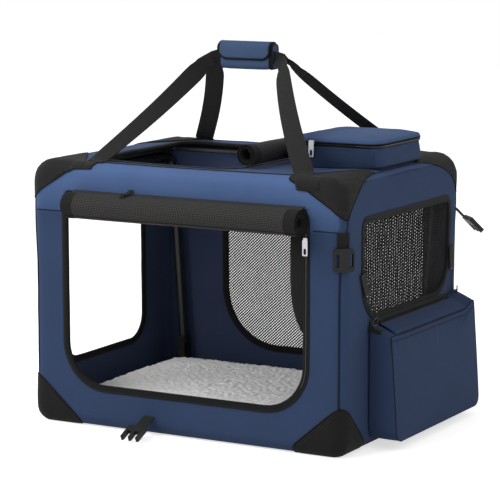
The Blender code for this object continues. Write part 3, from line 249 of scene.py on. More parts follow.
def box_uv(mesh):
    """UVs in metres, looking along each face's largest axis."""
    layer = mesh.uv_layers.new(name="UVMap")
    for face in mesh.polygons:
        nx, ny, nz = (abs(c) for c in face.normal)
        first, second = (1, 2) if nx >= max(ny, nz) else (0, 2) if ny >= nz else (0, 1)
        for index in face.loop_indices:
            place = mesh.vertices[mesh.loops[index].vertex_index].co
            layer.data[index].uv = (place[first], place[second])


def point_uv(mesh, uv):
    """UVs from a list with one for each point."""
    layer = mesh.uv_layers.new(name="UVMap")
    for loop in mesh.loops:
        layer.data[loop.index].uv = uv[loop.vertex_index]


def new_object(name, mesh, materials, painted_shading):
    """A smooth object from a mesh, with its materials and, for each point, a factor of painted light or
    painted shade that scales its cloth colour.
    """
    attribute = mesh.attributes.new("tone", "FLOAT", "POINT")
    for item, value in zip(attribute.data, painted_shading):
        item.value = value
    for item in materials.split():
        mesh.materials.append(MAT[item])
    mesh.validate()
    obj = bpy.data.objects.new(name, mesh)
    bpy.context.scene.collection.objects.link(obj)
    mesh.shade_smooth()
    return obj


def build(name, verts, faces, materials, uv=None, auto=40):
    """An object from plain lists, its edges sharp above an angle."""
    mesh = bpy.data.meshes.new(name)
    mesh.from_pydata([tuple(v) for v in verts], [], faces)
    if uv is None:
        box_uv(mesh)
    else:
        point_uv(mesh, uv)
    obj = new_object(name, mesh, materials, [1.0] * len(mesh.vertices))
    if auto:
        mesh.set_sharp_from_angle(angle=math.radians(auto))
    return obj


def face_out(obj):
    """Turn all faces of a closed mesh outwards."""
    work = bmesh.new()
    work.from_mesh(obj.data)
    bmesh.ops.recalc_face_normals(work, faces=work.faces)
    work.to_mesh(obj.data)
    work.free()


def thicken(obj, thickness, offset=-1.0, inner=0):
    """Give cloth its thickness, with another material on its inner side if wanted."""
    solid = obj.modifiers.new("cloth", "SOLIDIFY")
    solid.thickness = thickness
    solid.offset = offset
    solid.material_offset = inner
    solid.use_even_offset = True
    graph = bpy.context.evaluated_depsgraph_get()
    bpy.context.view_layer.update()
    solid_obj = obj.evaluated_get(graph)
    mesh = bpy.data.meshes.new_from_object(solid_obj, preserve_all_data_layers=True, depsgraph=graph)
    obj.modifiers.clear()
    obj.data = mesh


def strips(rows, size, closed=True, around=False):
    """Quads between rows of points; closed joins a row's ends, around joins the last row to the first."""
    faces = []
    for row in range(rows if around else rows - 1):
        low, high = row * size, (row + 1) % rows * size
        for k in range(size if closed else size - 1):
            m = (k + 1) % size
            faces.append((low + k, low + m, high + m, high + k))
    return faces


def caps(rows, size):
    """The two faces that close a stack of rings."""
    return [tuple(range(size - 1, -1, -1)), tuple(range((rows - 1) * size, rows * size))]


def ride(obj, body, squash=None, stands_for=()):
    """Attach a finished piece to its CAD body, and hide the node that it stands for."""
    if stands_for:
        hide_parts(stands_for)
    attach(obj, body)
    if squash == "fold":
        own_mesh(obj)
    elif squash == "handle":
        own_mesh(obj)


def sew(obj, thickness, body, squash=None, node=(), offset=-1.0, inner=0):
    """Finish a piece of stretched cloth: its thickness, and what it rides."""
    thicken(obj, thickness, offset, inner)
    ride(obj, body, squash, node)


def cord(name, path, radius, material, body, closed=False, sides=6):
    """A round cord along a path: piping, or a zip's line of teeth."""
    path = [Vector(p) for p in path]
    count = len(path)
    verts, uv = [], []
    run, side = 0.0, None
    for i, p in enumerate(path):
        before = path[i - 1] if i or closed else path[0]
        after = path[(i + 1) % count] if i < count - 1 or closed else path[-1]
        along = (after - before).normalized()
        if side is None:
            side = along.orthogonal().normalized()
        side = (side - along * side.dot(along)).normalized()
        other = along.cross(side)
        if i:
            run += (p - path[i - 1]).length
        for k in range(sides):
            a = 2 * math.pi * k / sides
            verts.append(p + (side * math.cos(a) + other * math.sin(a)) * radius)
            uv.append((run, radius * a))
    faces = strips(count, sides)
    if closed:
        last = (count - 1) * sides
        shift = min(range(sides), key=lambda s: (verts[last] - verts[s]).length)
        for k in range(sides):
            m = (k + 1) % sides
            faces.append((last + k, last + m, (m + shift) % sides, (k + shift) % sides))
    else:
        faces += caps(count, sides)
    ride(build(name, verts, faces, material, uv, 60), body, "fold" if body == "base" else None)


def strap(name, path, halves, thickness, body, squash=None, node=(), columns=6,
          material="webbing"):
    """A flat strip along a path, with rounded edges; each point has its half-width vector."""
    ring = [(2 * c / columns - 1, 1) for c in range(columns + 1)]
    ring += [(share, -1) for share, _ in reversed(ring)]
    count = len(path)
    verts, uv = [], []
    run = 0.0
    for i, (p, half) in enumerate(zip(path, halves)):
        along = (path[min(i + 1, count - 1)] - path[max(i - 1, 0)]).normalized()
        up = along.cross(half).normalized()
        if i:
            run += (p - path[i - 1]).length
        for share, face in ring:
            slim = 1.0 - 0.25 * abs(share) ** 8
            verts.append(p + half * share + up * (face * thickness / 2 * slim))
            uv.append((run, share * half.length))
    faces = strips(count, len(ring)) + caps(count, len(ring))
    obj = build(name, verts, faces, material, uv, 50)
    ride(obj, body, squash, node)


def loft(name, rings, materials, closed_bottom=True, closed_top=True, auto=45):
    """A skin over a stack of rings with the same number of points."""
    size = len(rings[0])
    bottom, top = caps(len(rings), size)
    faces = strips(len(rings), size)
    if closed_bottom:
        faces.append(bottom)
    if closed_top:
        faces.append(top)
    obj = build(name, [p for ring in rings for p in ring], faces, materials, auto=auto)
    face_out(obj)
    return obj


def unit(value):
    return max(0.0, min(1.0, value))


def length_of(path):
    return sum((b - a).length for a, b in zip(path, path[1:]))


def smoothed(line, turns=2):
    """A path with its small zigzags evened out; its ends stay where they are."""
    for _ in range(turns):
        line = [line[0]] + [(a + b * 2 + c) / 4 for a, b, c in zip(line, line[1:], line[2:])] + [line[-1]]
    return line


# Outlines


def arc(cu, cv, radius, start, steps):
    """A quarter circle, anticlockwise from an angle."""
    angles = [math.radians(start + 90 * i / steps) for i in range(steps + 1)]
    return [(cu + radius * math.cos(a), cv + radius * math.sin(a)) for a in angles]


def rounded(low_u, high_u, low_v, high_v, low_r, high_r, step=STEP, steps=8):
    """A rounded rectangle, anticlockwise, with its straights divided."""
    corners = [
        arc(low_u + low_r, low_v + low_r, low_r, 180, steps),
        arc(high_u - low_r, low_v + low_r, low_r, 270, steps),
        arc(high_u - high_r, high_v - high_r, high_r, 0, steps),
        arc(low_u + high_r, high_v - high_r, high_r, 90, steps),
    ]
    points = []
    for k, corner in enumerate(corners):
        points += corner
        a, b = corner[-1], corners[(k + 1) % 4][0]
        pieces = max(1, round(math.dist(a, b) / step))
        for i in range(1, pieces):
            points.append((a[0] + (b[0] - a[0]) * i / pieces, a[1] + (b[1] - a[1]) * i / pieces))
    return points


def outwards(points, i):
    """The direction out of an anticlockwise outline at one of its points."""
    (pu, pv), (qu, qv) = points[i - 1], points[(i + 1) % len(points)]
    size = math.hypot(qu - pu, qv - pv) or 1.0
    return (qv - pv) / size, -(qu - pu) / size


def offset(points, grow):
    """An anticlockwise outline moved outwards, with the same number of points."""
    ways = [outwards(points, i) for i in range(len(points))]
    return [(u + nu * grow, v + nv * grow) for (u, v), (nu, nv) in zip(points, ways)]


def opening(side, grow=0.0, step=STEP, steps=8):
    """The outline of an opening, grown or not."""
    a, b, c, d, *radii = OPENINGS[side]
    low, high = (max(radius + grow, 0.001) for radius in radii)
    return rounded(a - grow, b + grow, c - grow, d + grow, low, high, step, steps)


def within(du, dv, radius):
    """How far a point lies inside a rounded corner; du and dv are measured from the corner's centre."""
    return radius - (math.hypot(max(du, 0), max(dv, 0)) + min(max(du, dv), 0))


def depth_in(side, u, v):
    """How far a point lies inside an opening's outline; negative outside."""
    a, b, c, d, low, high = OPENINGS[side]
    radius = low if v < (c + d) / 2 else high
    du = abs(u - (a + b) / 2) - ((b - a) / 2 - radius)
    dv = abs(v - (c + d) / 2) - ((d - c) / 2 - radius)
    return within(du, dv, radius)


# The body's outline in X and Z, from the middle of the floor round by the right end
FLOOR_FLAT, ROOF_FLAT = 0.320, 0.305
END_LOW, END_HIGH = 0.030, 0.485
BELT = [
    ("line", 0.320, (0.0, 0.0), (1, 0), (0, -1)),
    ("arc", (FLOOR_FLAT, END_LOW), LOW_RADIUS, -90),
    ("line", 0.455, (HALF_LENGTH, END_LOW), (0, 1), (1, 0)),
    ("arc", (ROOF_FLAT, END_HIGH), TOP_RADIUS, 0),
    ("line", 0.610, (ROOF_FLAT, HEIGHT), (-1, 0), (0, 1)),
    ("arc", (-ROOF_FLAT, END_HIGH), TOP_RADIUS, 90),
    ("line", 0.455, (-HALF_LENGTH, END_HIGH), (0, -1), (-1, 0)),
    ("arc", (-FLOOR_FLAT, END_LOW), LOW_RADIUS, 180),
    ("line", 0.320, (-FLOOR_FLAT, 0.0), (1, 0), (0, -1)),
]
BELT_LENGTHS = [item[1] if item[0] == "line" else math.pi / 2 * item[2] for item in BELT]
AROUND = sum(BELT_LENGTHS)
# How much longer a quarter turn is than its radius, as a share of the radius
TURN_EXTRA = math.pi / 2 - 1


def belt(t):
    """The place and outward normal, in X and Z, at a distance round the outline."""
    for item, length in zip(BELT, BELT_LENGTHS):
        if t <= length + 1e-9:
            break
        t -= length
    if item[0] == "line":
        start, way, out = item[2:]
        return (start[0] + way[0] * t, start[1] + way[1] * t, out[0], out[1])
    centre, radius, start = item[1:]
    a = math.radians(start) + t / radius
    return (centre[0] + radius * math.cos(a), centre[1] + radius * math.sin(a), math.cos(a), math.sin(a))


def belt_at(side, along):
    """The distance round the outline of a place on the roof (its X) or an end (its Z)."""
    if side == "roof":
        return sum(BELT_LENGTHS[:4]) + (ROOF_FLAT - along)
    if side == "right":
        return sum(BELT_LENGTHS[:2]) + (along - END_LOW)
    return sum(BELT_LENGTHS[:6]) + (END_HIGH - along)


def belt_stops():
    """The distances round the outline at which the skin has its points."""
    stops = [0.0]
    for item, length in zip(BELT, BELT_LENGTHS):
        count = 6 if item[0] == "arc" else max(1, round(length / STEP))
        start = stops[-1]
        stops += [start + length * (i + 1) / count for i in range(count)]
    return stops


def cap(u, v, side):
    """A place and normal on the front (-1) or rear (1) wall, from its unrolled place."""
    au, sign = abs(u), math.copysign(1.0, u)
    corner = None
    if v > HEIGHT - TOP_RADIUS and au > HALF_LENGTH - TOP_RADIUS:
        corner = (HALF_LENGTH - TOP_RADIUS, HEIGHT - TOP_RADIUS, TOP_RADIUS - RIM)
    elif v < LOW_RADIUS and au > HALF_LENGTH - LOW_RADIUS:
        corner = (HALF_LENGTH - LOW_RADIUS, LOW_RADIUS, LOW_RADIUS - RIM)
    if corner:
        du, dv = au - corner[0], v - corner[1]
        reach = math.hypot(du, dv)
        past = reach - corner[2]
        nu, nv = (du / reach, dv / reach) if reach > 1e-9 else (0.0, 1.0)
    else:
        edges = [(au - (HALF_LENGTH - RIM), (1.0, 0.0)), (v - (HEIGHT - RIM), (0.0, 1.0)),
                 (RIM - v, (0.0, -1.0))]
        past, (nu, nv) = max(edges)
    if past <= 0:
        return Vector((u, side * HALF_WIDTH, v)), Vector((0.0, side, 0.0))
    a = min(past / RIM, math.pi / 2)
    base_u, base_v = au - nu * past, v - nv * past
    place = Vector((sign * (base_u + nu * RIM * math.sin(a)), side * (HALF_WIDTH - RIM + RIM * math.cos(a)),
                    base_v + nv * RIM * math.sin(a)))
    return place, Vector((sign * nu * math.sin(a), side * math.cos(a), nv * math.sin(a)))


# Slack of the cloth between the rails, and the half sizes over which it dies out
ROOF_SLACK, ROOF_BOW, WALL_SLACK = 0.0042, 0.0022, 0.0030
ROOF_HALF_X, ROOF_HALF_Y = 0.33, 0.235
WALL_HALF_X, WALL_HALF_Y, WALL_HALF_Z = 0.345, 0.255, 0.26
MOST_OUT = 0.0012


def hump(distance, half):
    return max(0.0, 1 - (distance / half) ** 2)


def sag(p, n):
    """How far the cloth stands out from its ideal surface: slack between the rails, and small ripples."""
    x, y, z = p
    ripple = 0.0010 * noise.noise(Vector((x * 9, y * 9, z * 9)))
    ripple += 0.0006 * noise.noise(Vector((x * 23, y * 23 + 7, z * 23)))
    if n.z > 0.7:
        slack = ROOF_SLACK * hump(x, ROOF_HALF_X) * hump(y, ROOF_HALF_Y) ** 0.5
        slack += ROOF_BOW * hump(x, ROOF_HALF_X)
        return ripple - slack * n.z
    if n.z < -0.5:
        return 0.0
    wide = hump(x, WALL_HALF_X) if abs(n.y) > 0.7 else hump(y, WALL_HALF_Y)
    return min(MOST_OUT, ripple - WALL_SLACK * hump(z - MIDDLE_Z, WALL_HALF_Z) * (0.35 + 0.65 * wide))


def skin(p, n, out=0.0):
    """A place moved from the ideal surface to the cloth's."""
    return p + n * (sag(p, n) + out)


def wall_point(side, u, v):
    """The ideal place and normal on the flat of a wall."""
    s = -1 if side in ("front", "left") else 1
    if side in ("front", "rear"):
        return Vector((u, s * HALF_WIDTH, v)), Vector((0.0, s, 0.0))
    if side in ("left", "right"):
        return Vector((s * HALF_LENGTH, u, v)), Vector((s, 0.0, 0.0))
    return Vector((u, v, HEIGHT)), Vector((0.0, 0.0, 1.0))


def on_wall(side, u, v, out=0.0):
    p, n = wall_point(side, u, v)
    return skin(p, n, out)


# The body's skin


def fill(outline, holes, inside):
    """Triangles that fill an outline, with holes left open, on a grid of points."""
    points, edges = [], []
    for loop in [outline] + holes:
        start = len(points)
        points += loop
        edges += [(start + i, start + (i + 1) % len(loop)) for i in range(len(loop))]
    low_u, high_u = min(p[0] for p in outline), max(p[0] for p in outline)
    low_v, high_v = min(p[1] for p in outline), max(p[1] for p in outline)
    columns, rows = round((high_u - low_u) / STEP), round((high_v - low_v) / STEP)
    for i in range(1, columns):
        for j in range(1, rows):
            u, v = low_u + (high_u - low_u) * i / columns, low_v + (high_v - low_v) * j / rows
            if inside(u, v) > 0.45 * STEP:
                points.append((u, v))
    verts, _, faces, *_ = delaunay_2d_cdt([Vector(p) for p in points], edges, [], 0, 1e-7, False)
    kept = []
    for face in faces:
        u, v = (sum(verts[i][axis] for i in face) / 3 for axis in (0, 1))
        if inside(u, v) > -1e-6:
            kept.append(tuple(face))
    return verts, kept


def make_skin():
    """The whole sewn body as one sheet, with its openings, ready to be cut into panels."""
    work = bmesh.new()
    stops = belt_stops()
    grown = RIM * TURN_EXTRA
    for side, name in ((-1, "front"), (1, "rear")):
        outline = []
        for t in stops[:-1]:
            x, z, nx, nz = belt(t)
            outline.append((x + nx * RIM * TURN_EXTRA, z + nz * RIM * TURN_EXTRA))

        def in_wall(u, v, name=name):
            radius = (LOW_RADIUS if v < HEIGHT / 2 else TOP_RADIUS) + grown
            du = abs(u) - (HALF_LENGTH + grown - radius)
            dv = abs(v - HEIGHT / 2) - (HEIGHT / 2 + grown - radius)
            return min(within(du, dv, radius) + OUTLINE_SLACK, OPENING_SLACK - depth_in(name, u, v))

        places, faces = fill(outline, [opening(name)], in_wall)
        made = [work.verts.new(skin(*cap(u, v, side))) for u, v in places]
        for face in faces:
            work.faces.new([made[i] for i in (face if side < 0 else face[::-1])])
    across = max(1, round(2 * CUT_Y / STEP))
    rows = [-CUT_Y + 2 * CUT_Y * j / across for j in range(across + 1)]
    outline = [(t, -CUT_Y) for t in stops[:-1]] + [(AROUND, y) for y in rows[:-1]]
    outline += [(t, CUT_Y) for t in stops[:0:-1]] + [(0.0, y) for y in rows[:0:-1]]
    holes = [[(belt_at(name, v), u) for u, v in opening(name)] for name in ("left", "right")]
    holes.append([(belt_at("roof", u), v) for u, v in opening("roof")])

    def in_belt(t, y):
        x, z, nx, nz = belt(min(max(t, 0.0), AROUND))
        edge = min(t, AROUND - t, CUT_Y - abs(y)) + OUTLINE_SLACK
        if abs(nx) > 0.99:
            return min(edge, OPENING_SLACK - depth_in("right" if nx > 0 else "left", y, z))
        return min(edge, OPENING_SLACK - depth_in("roof", x, y)) if nz > 0.99 else edge

    places, faces = fill(outline, holes, in_belt)
    made = []
    for t, y in places:
        x, z, nx, nz = belt(min(max(t, 0.0), AROUND))
        made.append(work.verts.new(skin(Vector((x, y, z)), Vector((nx, 0.0, nz)))))
    for face in faces:
        work.faces.new([made[i] for i in face])
    bmesh.ops.remove_doubles(work, verts=work.verts, dist=WELD)
    bmesh.ops.recalc_face_normals(work, faces=work.faces)
    work.normal_update()
    return work


def slice_of(work, planes):
    """A copy of the skin on the kept side of each plane, given as (point, normal to keep)."""
    part = work.copy()
    for point, keep in planes:
        everything = part.verts[:] + part.edges[:] + part.faces[:]
        bmesh.ops.bisect_plane(part, geom=everything, dist=1e-6, plane_co=point, plane_no=keep,
                               clear_inner=True)
    return part


def side_of(axis, place, way):
    """A plane across an axis (0, 1 or 2) that keeps what lies above it (1) or below it (-1)."""
    point, keep = [0, 0, 0], [0, 0, 0]
    point[axis], keep[axis] = place, way
    return tuple(point), tuple(keep)


SKIN = make_skin()
# The cross seam's height, and the height over which the painted light above it grows to its full
BAND_SEAM_Z, BAND_LIGHT_FADE = 0.430, 0.060
BETWEEN_ENDS = [side_of(0, SEAM_X, -1), side_of(0, -SEAM_X, 1)]
BETWEEN_WALLS = [side_of(1, -CUT_Y, 1), side_of(1, CUT_Y, -1)]
# Each panel's planes, and the width and length it is cut from
PANELS = {
    "front_panel": ([side_of(1, -CUT_Y, -1)] + BETWEEN_ENDS, (0.72, 0.56)),
    "rear_panel": ([side_of(1, CUT_Y, 1)] + BETWEEN_ENDS, (0.72, 0.56)),
    "left_panel": ([side_of(0, -SEAM_X, -1)], (0.56, 0.56)),
    "right_panel": ([side_of(0, SEAM_X, 1)], (0.56, 0.56)),
    "roof_panel": (BETWEEN_WALLS + [side_of(2, MIDDLE_Z, 1)] + BETWEEN_ENDS, (0.70, 0.475)),
    "floor_panel": (BETWEEN_WALLS + [side_of(2, MIDDLE_Z, -1)] + BETWEEN_ENDS, (0.70, 0.475)),
}


def painted_band_light(co):
    """Painted light, as a factor on the colour: 1.5 over the roof and the walls' rounded edges, 1 below the
    cross seam, and 1.5 to 2.5 above it, where the wall leans back under the top rail and catches more
    light.
    """
    if abs(co.y) < CUT_Y:
        return 1.5
    if co.z < BAND_SEAM_Z:
        return 1.0
    return 1.50 + 1.00 * min(1.0, (co.z - BAND_SEAM_Z) / BAND_LIGHT_FADE)


for name, (planes, flat) in PANELS.items():
    part = slice_of(SKIN, planes)
    mesh = bpy.data.meshes.new(f"{name}_cloth")
    part.to_mesh(mesh)
    part.free()
    box_uv(mesh)
    # Painted light on the front, rear and roof panels: lighter over the roof and above the cross seam
    painted_lit = name in ("front_panel", "rear_panel", "roof_panel")
    painted_shading = [painted_band_light(vert.co) if painted_lit else 1.0 for vert in mesh.vertices]
    panel = new_object(f"{name}_cloth", mesh, "oxford inside", painted_shading)
    body = "top" if name == "roof_panel" else "base"
    fold = None if name in ("roof_panel", "floor_panel") else "fold"
    sew(panel, CLOTH, body, fold, name, inner=1)

# Corner patches: how far each reaches along its wall, down or up it, and round its end
PATCH_SIZES = {"top": (0.135, 0.098, 0.215), "bottom": (0.127, 0.110, 0.110)}
# Quarter ellipses that the top patches leave bare: centre, height, half width and half height
END_ARC = (0.090, 0.440, 0.155, 0.083)
FRONT_ARC = (0.075, 0.1315, 0.42, 0.42)
ARC_PLANES = 10
PATCH_SPLIT_X = 0.329
PATCH_LIFT, PATCH_SWELL, PATCH_EDGE, PATCH_DARK_RIM = 0.0014, 0.0008, 0.010, 0.009
PATCH_CLOTH, PATCH_FLAT = 0.0013, (0.19, 0.17)
# Colour factors of the patches: 1 on the top ones; painted shade makes the bottom ones darker, and darker
# still near their rim
PATCH_TONE, PATCH_LOW_SHADE, PATCH_LOW_EDGE_SHADE = 1.0, 0.62, 0.42


def join(parts):
    """One mesh from several, with their shared edges joined."""
    whole = bmesh.new()
    for part in parts:
        copies = {v: whole.verts.new(v.co) for v in part.verts}
        for face in part.faces:
            whole.faces.new([copies[v] for v in face.verts])
        part.free()
    bmesh.ops.remove_doubles(whole, verts=whole.verts, dist=PATCH_WELD)
    whole.normal_update()
    return whole


def outside_arc(part, split, ellipse, along):
    """Leave out what lies inside a quarter of an ellipse, on the far side of a splitting plane."""
    place, way = split
    kept = [slice_of(part, [(place, tuple(-c for c in way))])]
    rest = slice_of(part, [(place, way)])
    part.free()
    centre, height, wide, tall = ellipse
    for k in range(ARC_PLANES):
        a = math.radians(90 * (k + 0.5) / ARC_PLANES)
        spot = along * (centre + wide * math.cos(a)) + Vector((0, 0, height + tall * math.sin(a)))
        out = along * (math.cos(a) / wide) + Vector((0, 0, math.sin(a) / tall))
        kept.append(slice_of(rest, [(spot, out)]))
        smaller = slice_of(rest, [(spot, -out)])
        rest.free()
        rest = smaller
    rest.free()
    return join(kept)


def chains(edges):
    """Boundary edges as ordered lists of places."""
    links = {}
    for e in edges:
        a, b = e.verts
        links.setdefault(a, []).append(b)
        links.setdefault(b, []).append(a)
    seen, found = set(), []
    for start in [v for v, near in links.items() if len(near) == 1] + list(links):
        if start in seen:
            continue
        line = [start]
        while line[-1] not in seen:
            seen.add(line[-1])
            line += [v for v in links[line[-1]] if v not in seen][:1]
        if start in links[line[-1]] and len(line) > 2:
            line.append(start)
        found.append([v.co.copy() for v in line])
    return found


def make_patch(level, side, end):
    """A corner patch: the skin beyond a slanting plane, lifted and thickened, with piping on its edge."""
    sx, sy = (-1 if end == "left" else 1), (-1 if side == "front" else 1)
    length, drop, deep = PATCH_SIZES[level]
    up = 1 if level == "top" else -1
    z = HEIGHT if level == "top" else 0.0
    a = Vector((sx * (HALF_LENGTH - length), sy * HALF_WIDTH, z))
    b = Vector((sx * HALF_LENGTH, sy * HALF_WIDTH, z - up * drop))
    c = Vector((sx * HALF_LENGTH, sy * (HALF_WIDTH - deep), z))
    normal = (b - a).cross(c - a).normalized()
    if normal.dot(Vector((sx, sy, up))) < 0:
        normal = -normal
    part = slice_of(SKIN, [(a, normal)])
    if level == "top":
        part = outside_arc(part, side_of(0, sx * PATCH_SPLIT_X, sx), END_ARC, Vector((0, sy, 0)))
        part = outside_arc(part, side_of(1, sy * CUT_Y, sy), FRONT_ARC, Vector((sx, 0, 0)))
    part.normal_update()
    name = f"{level}_patch_{side}_{end}"
    rim_points = [p for line in chains([e for e in part.edges if e.is_boundary]) for p in line]
    near = [min((vert.co - p).length for p in rim_points) for vert in part.verts]
    for vert, gap in zip(part.verts, near):
        vert.co += vert.normal * (PATCH_LIFT + PATCH_SWELL * min(1.0, gap / PATCH_EDGE))
        if level == "bottom":
            vert.co.z = max(vert.co.z, 0.0001)
    rim = max(chains([e for e in part.edges if e.is_boundary]), key=len)
    mesh = bpy.data.meshes.new(name)
    part.to_mesh(mesh)
    part.free()
    way = normal.orthogonal().normalized()
    other = normal.cross(way)
    uv, painted_shading = [], []
    for vert, gap in zip(mesh.vertices, near):
        flat = vert.co - (a + b + c) / 3
        uv.append((math.atan2(flat.dot(other), flat.dot(way)) * 0.09, gap))
        # Painted shade: the bottom patches darker, and darker still near their rim
        low_shade = PATCH_LOW_SHADE if gap > PATCH_DARK_RIM else PATCH_LOW_EDGE_SHADE
        painted_shading.append(PATCH_TONE if level == "top" else low_shade)
    point_uv(mesh, uv)
    obj = new_object(f"{name}_cloth", mesh, "patch", painted_shading)
    body, fold = ("top", None) if level == "top" else ("base", "fold")
    sew(obj, PATCH_CLOTH, body, fold, name)
    cord(f"{name}_piping", smoothed(rim), 0.0012, "black_piping", body)


for level in PATCH_SIZES:
    for side in ("front", "rear"):
        for end in ("left", "right"):
            make_patch(level, side, end)

# Seams
SEAM_LOW_STEPS, SEAM_POST_STEPS, SEAM_TOP_STEPS, SEAM_ROOF_STEPS, SEAM_FLOOR_STEPS = 7, 40, 24, 28, 40
CROSS_SEAM_STEPS = 12
SEAM_LEAN_Z = 0.30
CROSS_SEAMS = {"left": (-0.336, -0.280), "right": (0.283, 0.336)}


def seam_leg(s, side):
    """Half of an end panel's seam, from the floor up its post and round the wide upper corner."""
    leg = []
    low_x = SEAM_X - HALF_LENGTH + LOW_RADIUS
    widest = math.acos(low_x / LOW_RADIUS)
    for i in range(SEAM_LOW_STEPS, 0, -1):
        a = widest * i / SEAM_LOW_STEPS
        reach = low_x / math.cos(a)
        tilt = math.asin(unit((reach - LOW_RADIUS + RIM) / RIM))
        place = Vector((s * (HALF_LENGTH - LOW_RADIUS + reach * math.cos(a)),
                        side * (HALF_WIDTH - RIM + RIM * math.cos(tilt)), LOW_RADIUS - reach * math.sin(a)))
        leg.append((place, Vector((s * math.cos(a), side * math.cos(tilt), -math.sin(a))).normalized()))
    centre, height, wide, tall = END_ARC
    start = math.asin((centre + wide - CUT_Y) / RIM)
    for i in range(SEAM_POST_STEPS):
        z = LOW_RADIUS + (height - LOW_RADIUS) * i / SEAM_POST_STEPS
        turn = max(0.0, (z - SEAM_LEAN_Z) / (height - SEAM_LEAN_Z)) ** 2
        bend = RIM * (math.pi / 6 + turn * (math.pi / 3 - start))
        leg.append(cap(s * (HALF_LENGTH - RIM + bend), z, side))
    for i in range(SEAM_TOP_STEPS + 1):
        a = math.radians(90 * i / SEAM_TOP_STEPS)
        y, z = centre + wide * math.cos(a), height + tall * math.sin(a)
        over = math.asin(unit((z - (HEIGHT - TOP_RADIUS)) / TOP_RADIUS))
        turn = math.asin(unit((y - CUT_Y) / RIM))
        reach = HALF_LENGTH - RIM * (1 - math.cos(turn)) - TOP_RADIUS * (1 - math.cos(over))
        normal = Vector((s * math.cos(over) * math.cos(turn), side * math.sin(turn), math.sin(over)))
        leg.append((Vector((s * reach, side * y, z)), normal))
    return leg


def seam_round(s):
    """The path of an end panel's seam, all the way round."""
    front, rear = seam_leg(s, -1), seam_leg(s, 1)
    p, n = front[-1]
    across = [1 - 2 * i / SEAM_ROOF_STEPS for i in range(1, SEAM_ROOF_STEPS)]
    path = front + [(Vector((p.x, p.y * share, p.z)), n) for share in across] + rear[::-1]
    p, n = rear[0]
    for i in range(1, SEAM_FLOOR_STEPS):
        path.append((Vector((p.x, CUT_Y - 2 * CUT_Y * i / SEAM_FLOOR_STEPS, p.z)), n))
    return [skin(p, n, 0.0004) for p, n in path]


def roof_seam(side):
    """The path of the seam between the front or rear wall and the roof."""
    path = []
    for t in belt_stops()[:-1]:
        x, z, nx, nz = belt(t)
        if abs(x) < SEAM_X and z > MIDDLE_Z:
            path.append(skin(Vector((x, side * CUT_Y, z)), Vector((nx, 0, nz)), 0.0003))
    return path


cord("left_end_seam_piping", seam_round(-1), 0.0010, "piping", "base", closed=True)
cord("right_end_seam_piping", seam_round(1), 0.0010, "piping", "base", closed=True)
cord("front_roof_seam_piping", roof_seam(-1), 0.0012, "piping", "top")
cord("rear_roof_seam_piping", roof_seam(1), 0.0012, "piping", "top")
for end, (first, last) in CROSS_SEAMS.items():
    places = [first + (last - first) * i / CROSS_SEAM_STEPS for i in range(CROSS_SEAM_STEPS + 1)]
    path = [on_wall("front", x, BAND_SEAM_Z, 0.0003) for x in places]
    cord(f"front_cross_seam_{end}", path, 0.0009, "piping", "base")

# Bindings: the tape's section, as its place across the opening's edge and its height over the cloth
TAPE = [
    (0.0128, 0.0002), (0.0126, 0.0012), (0.0110, 0.0017), (0.0080, 0.0018), (0.0045, 0.0020),
    (0.0015, 0.0019), (-0.0008, 0.0010), (-0.0017, -0.0008), (-0.0017, -0.0024), (-0.0006, -0.0040),
    (0.0020, -0.0048), (0.0110, -0.0046), (0.0128, -0.0036),
]
# The front door's tape narrows behind the roll, above this height
TUCK_Z, TUCK_FADE, TUCK = 0.454, 0.012, 0.65


def make_binding(name, side):
    """Tape folded over the edge of an opening."""
    line = opening(side, 0.0, 0.008, 10)
    verts, uv = [], []
    run = 0.0
    for i, (u, v) in enumerate(line):
        nu, nv = outwards(line, i)
        if i:
            run += math.dist(line[i], line[i - 1])
        swell = 0.0004 * noise.noise(Vector((run * 30, 0.3, len(name))))
        for across, out in TAPE:
            if side == "front" and across > 0:
                across *= 1.0 - TUCK * unit((v - TUCK_Z) / TUCK_FADE)
            place, normal = wall_point(side, u + nu * across, v + nv * across)
            verts.append(place + normal * (sag(place, normal) + out + (swell if out > 0 else 0)))
            uv.append((run, across))
    obj = build(f"{name}_tape", verts, strips(len(line), len(TAPE), around=True), "tape", uv, 60)
    face_out(obj)
    ride(obj, "top" if side == "roof" else "base", None if side == "roof" else "fold", name)


for side, kind in (("front", "door"), ("rear", "window"), ("left", "door"), ("right", "window"),
                   ("roof", "opening")):
    make_binding(f"{side}_{kind}_binding", side)

# Nets
NET_DEPTH, NET_WEAVE, STRAND_HALF_THICK = -0.0015, 0.00035, 0.0003


def clip_line(outline, point, way):
    """The stretch of a straight line that lies inside a convex outline."""
    low, high = -10.0, 10.0
    for (a, b), (c, d) in zip(outline, outline[1:] + outline[:1]):
        nu, nv = d - b, a - c
        speed = way[0] * nu + way[1] * nv
        gap = (a - point[0]) * nu + (b - point[1]) * nv
        if abs(speed) < 1e-12:
            if gap < 0:
                return None
        elif speed > 0:
            high = min(high, gap / speed)
        else:
            low = max(low, gap / speed)
    return (low, high) if high - low > 0.001 else None


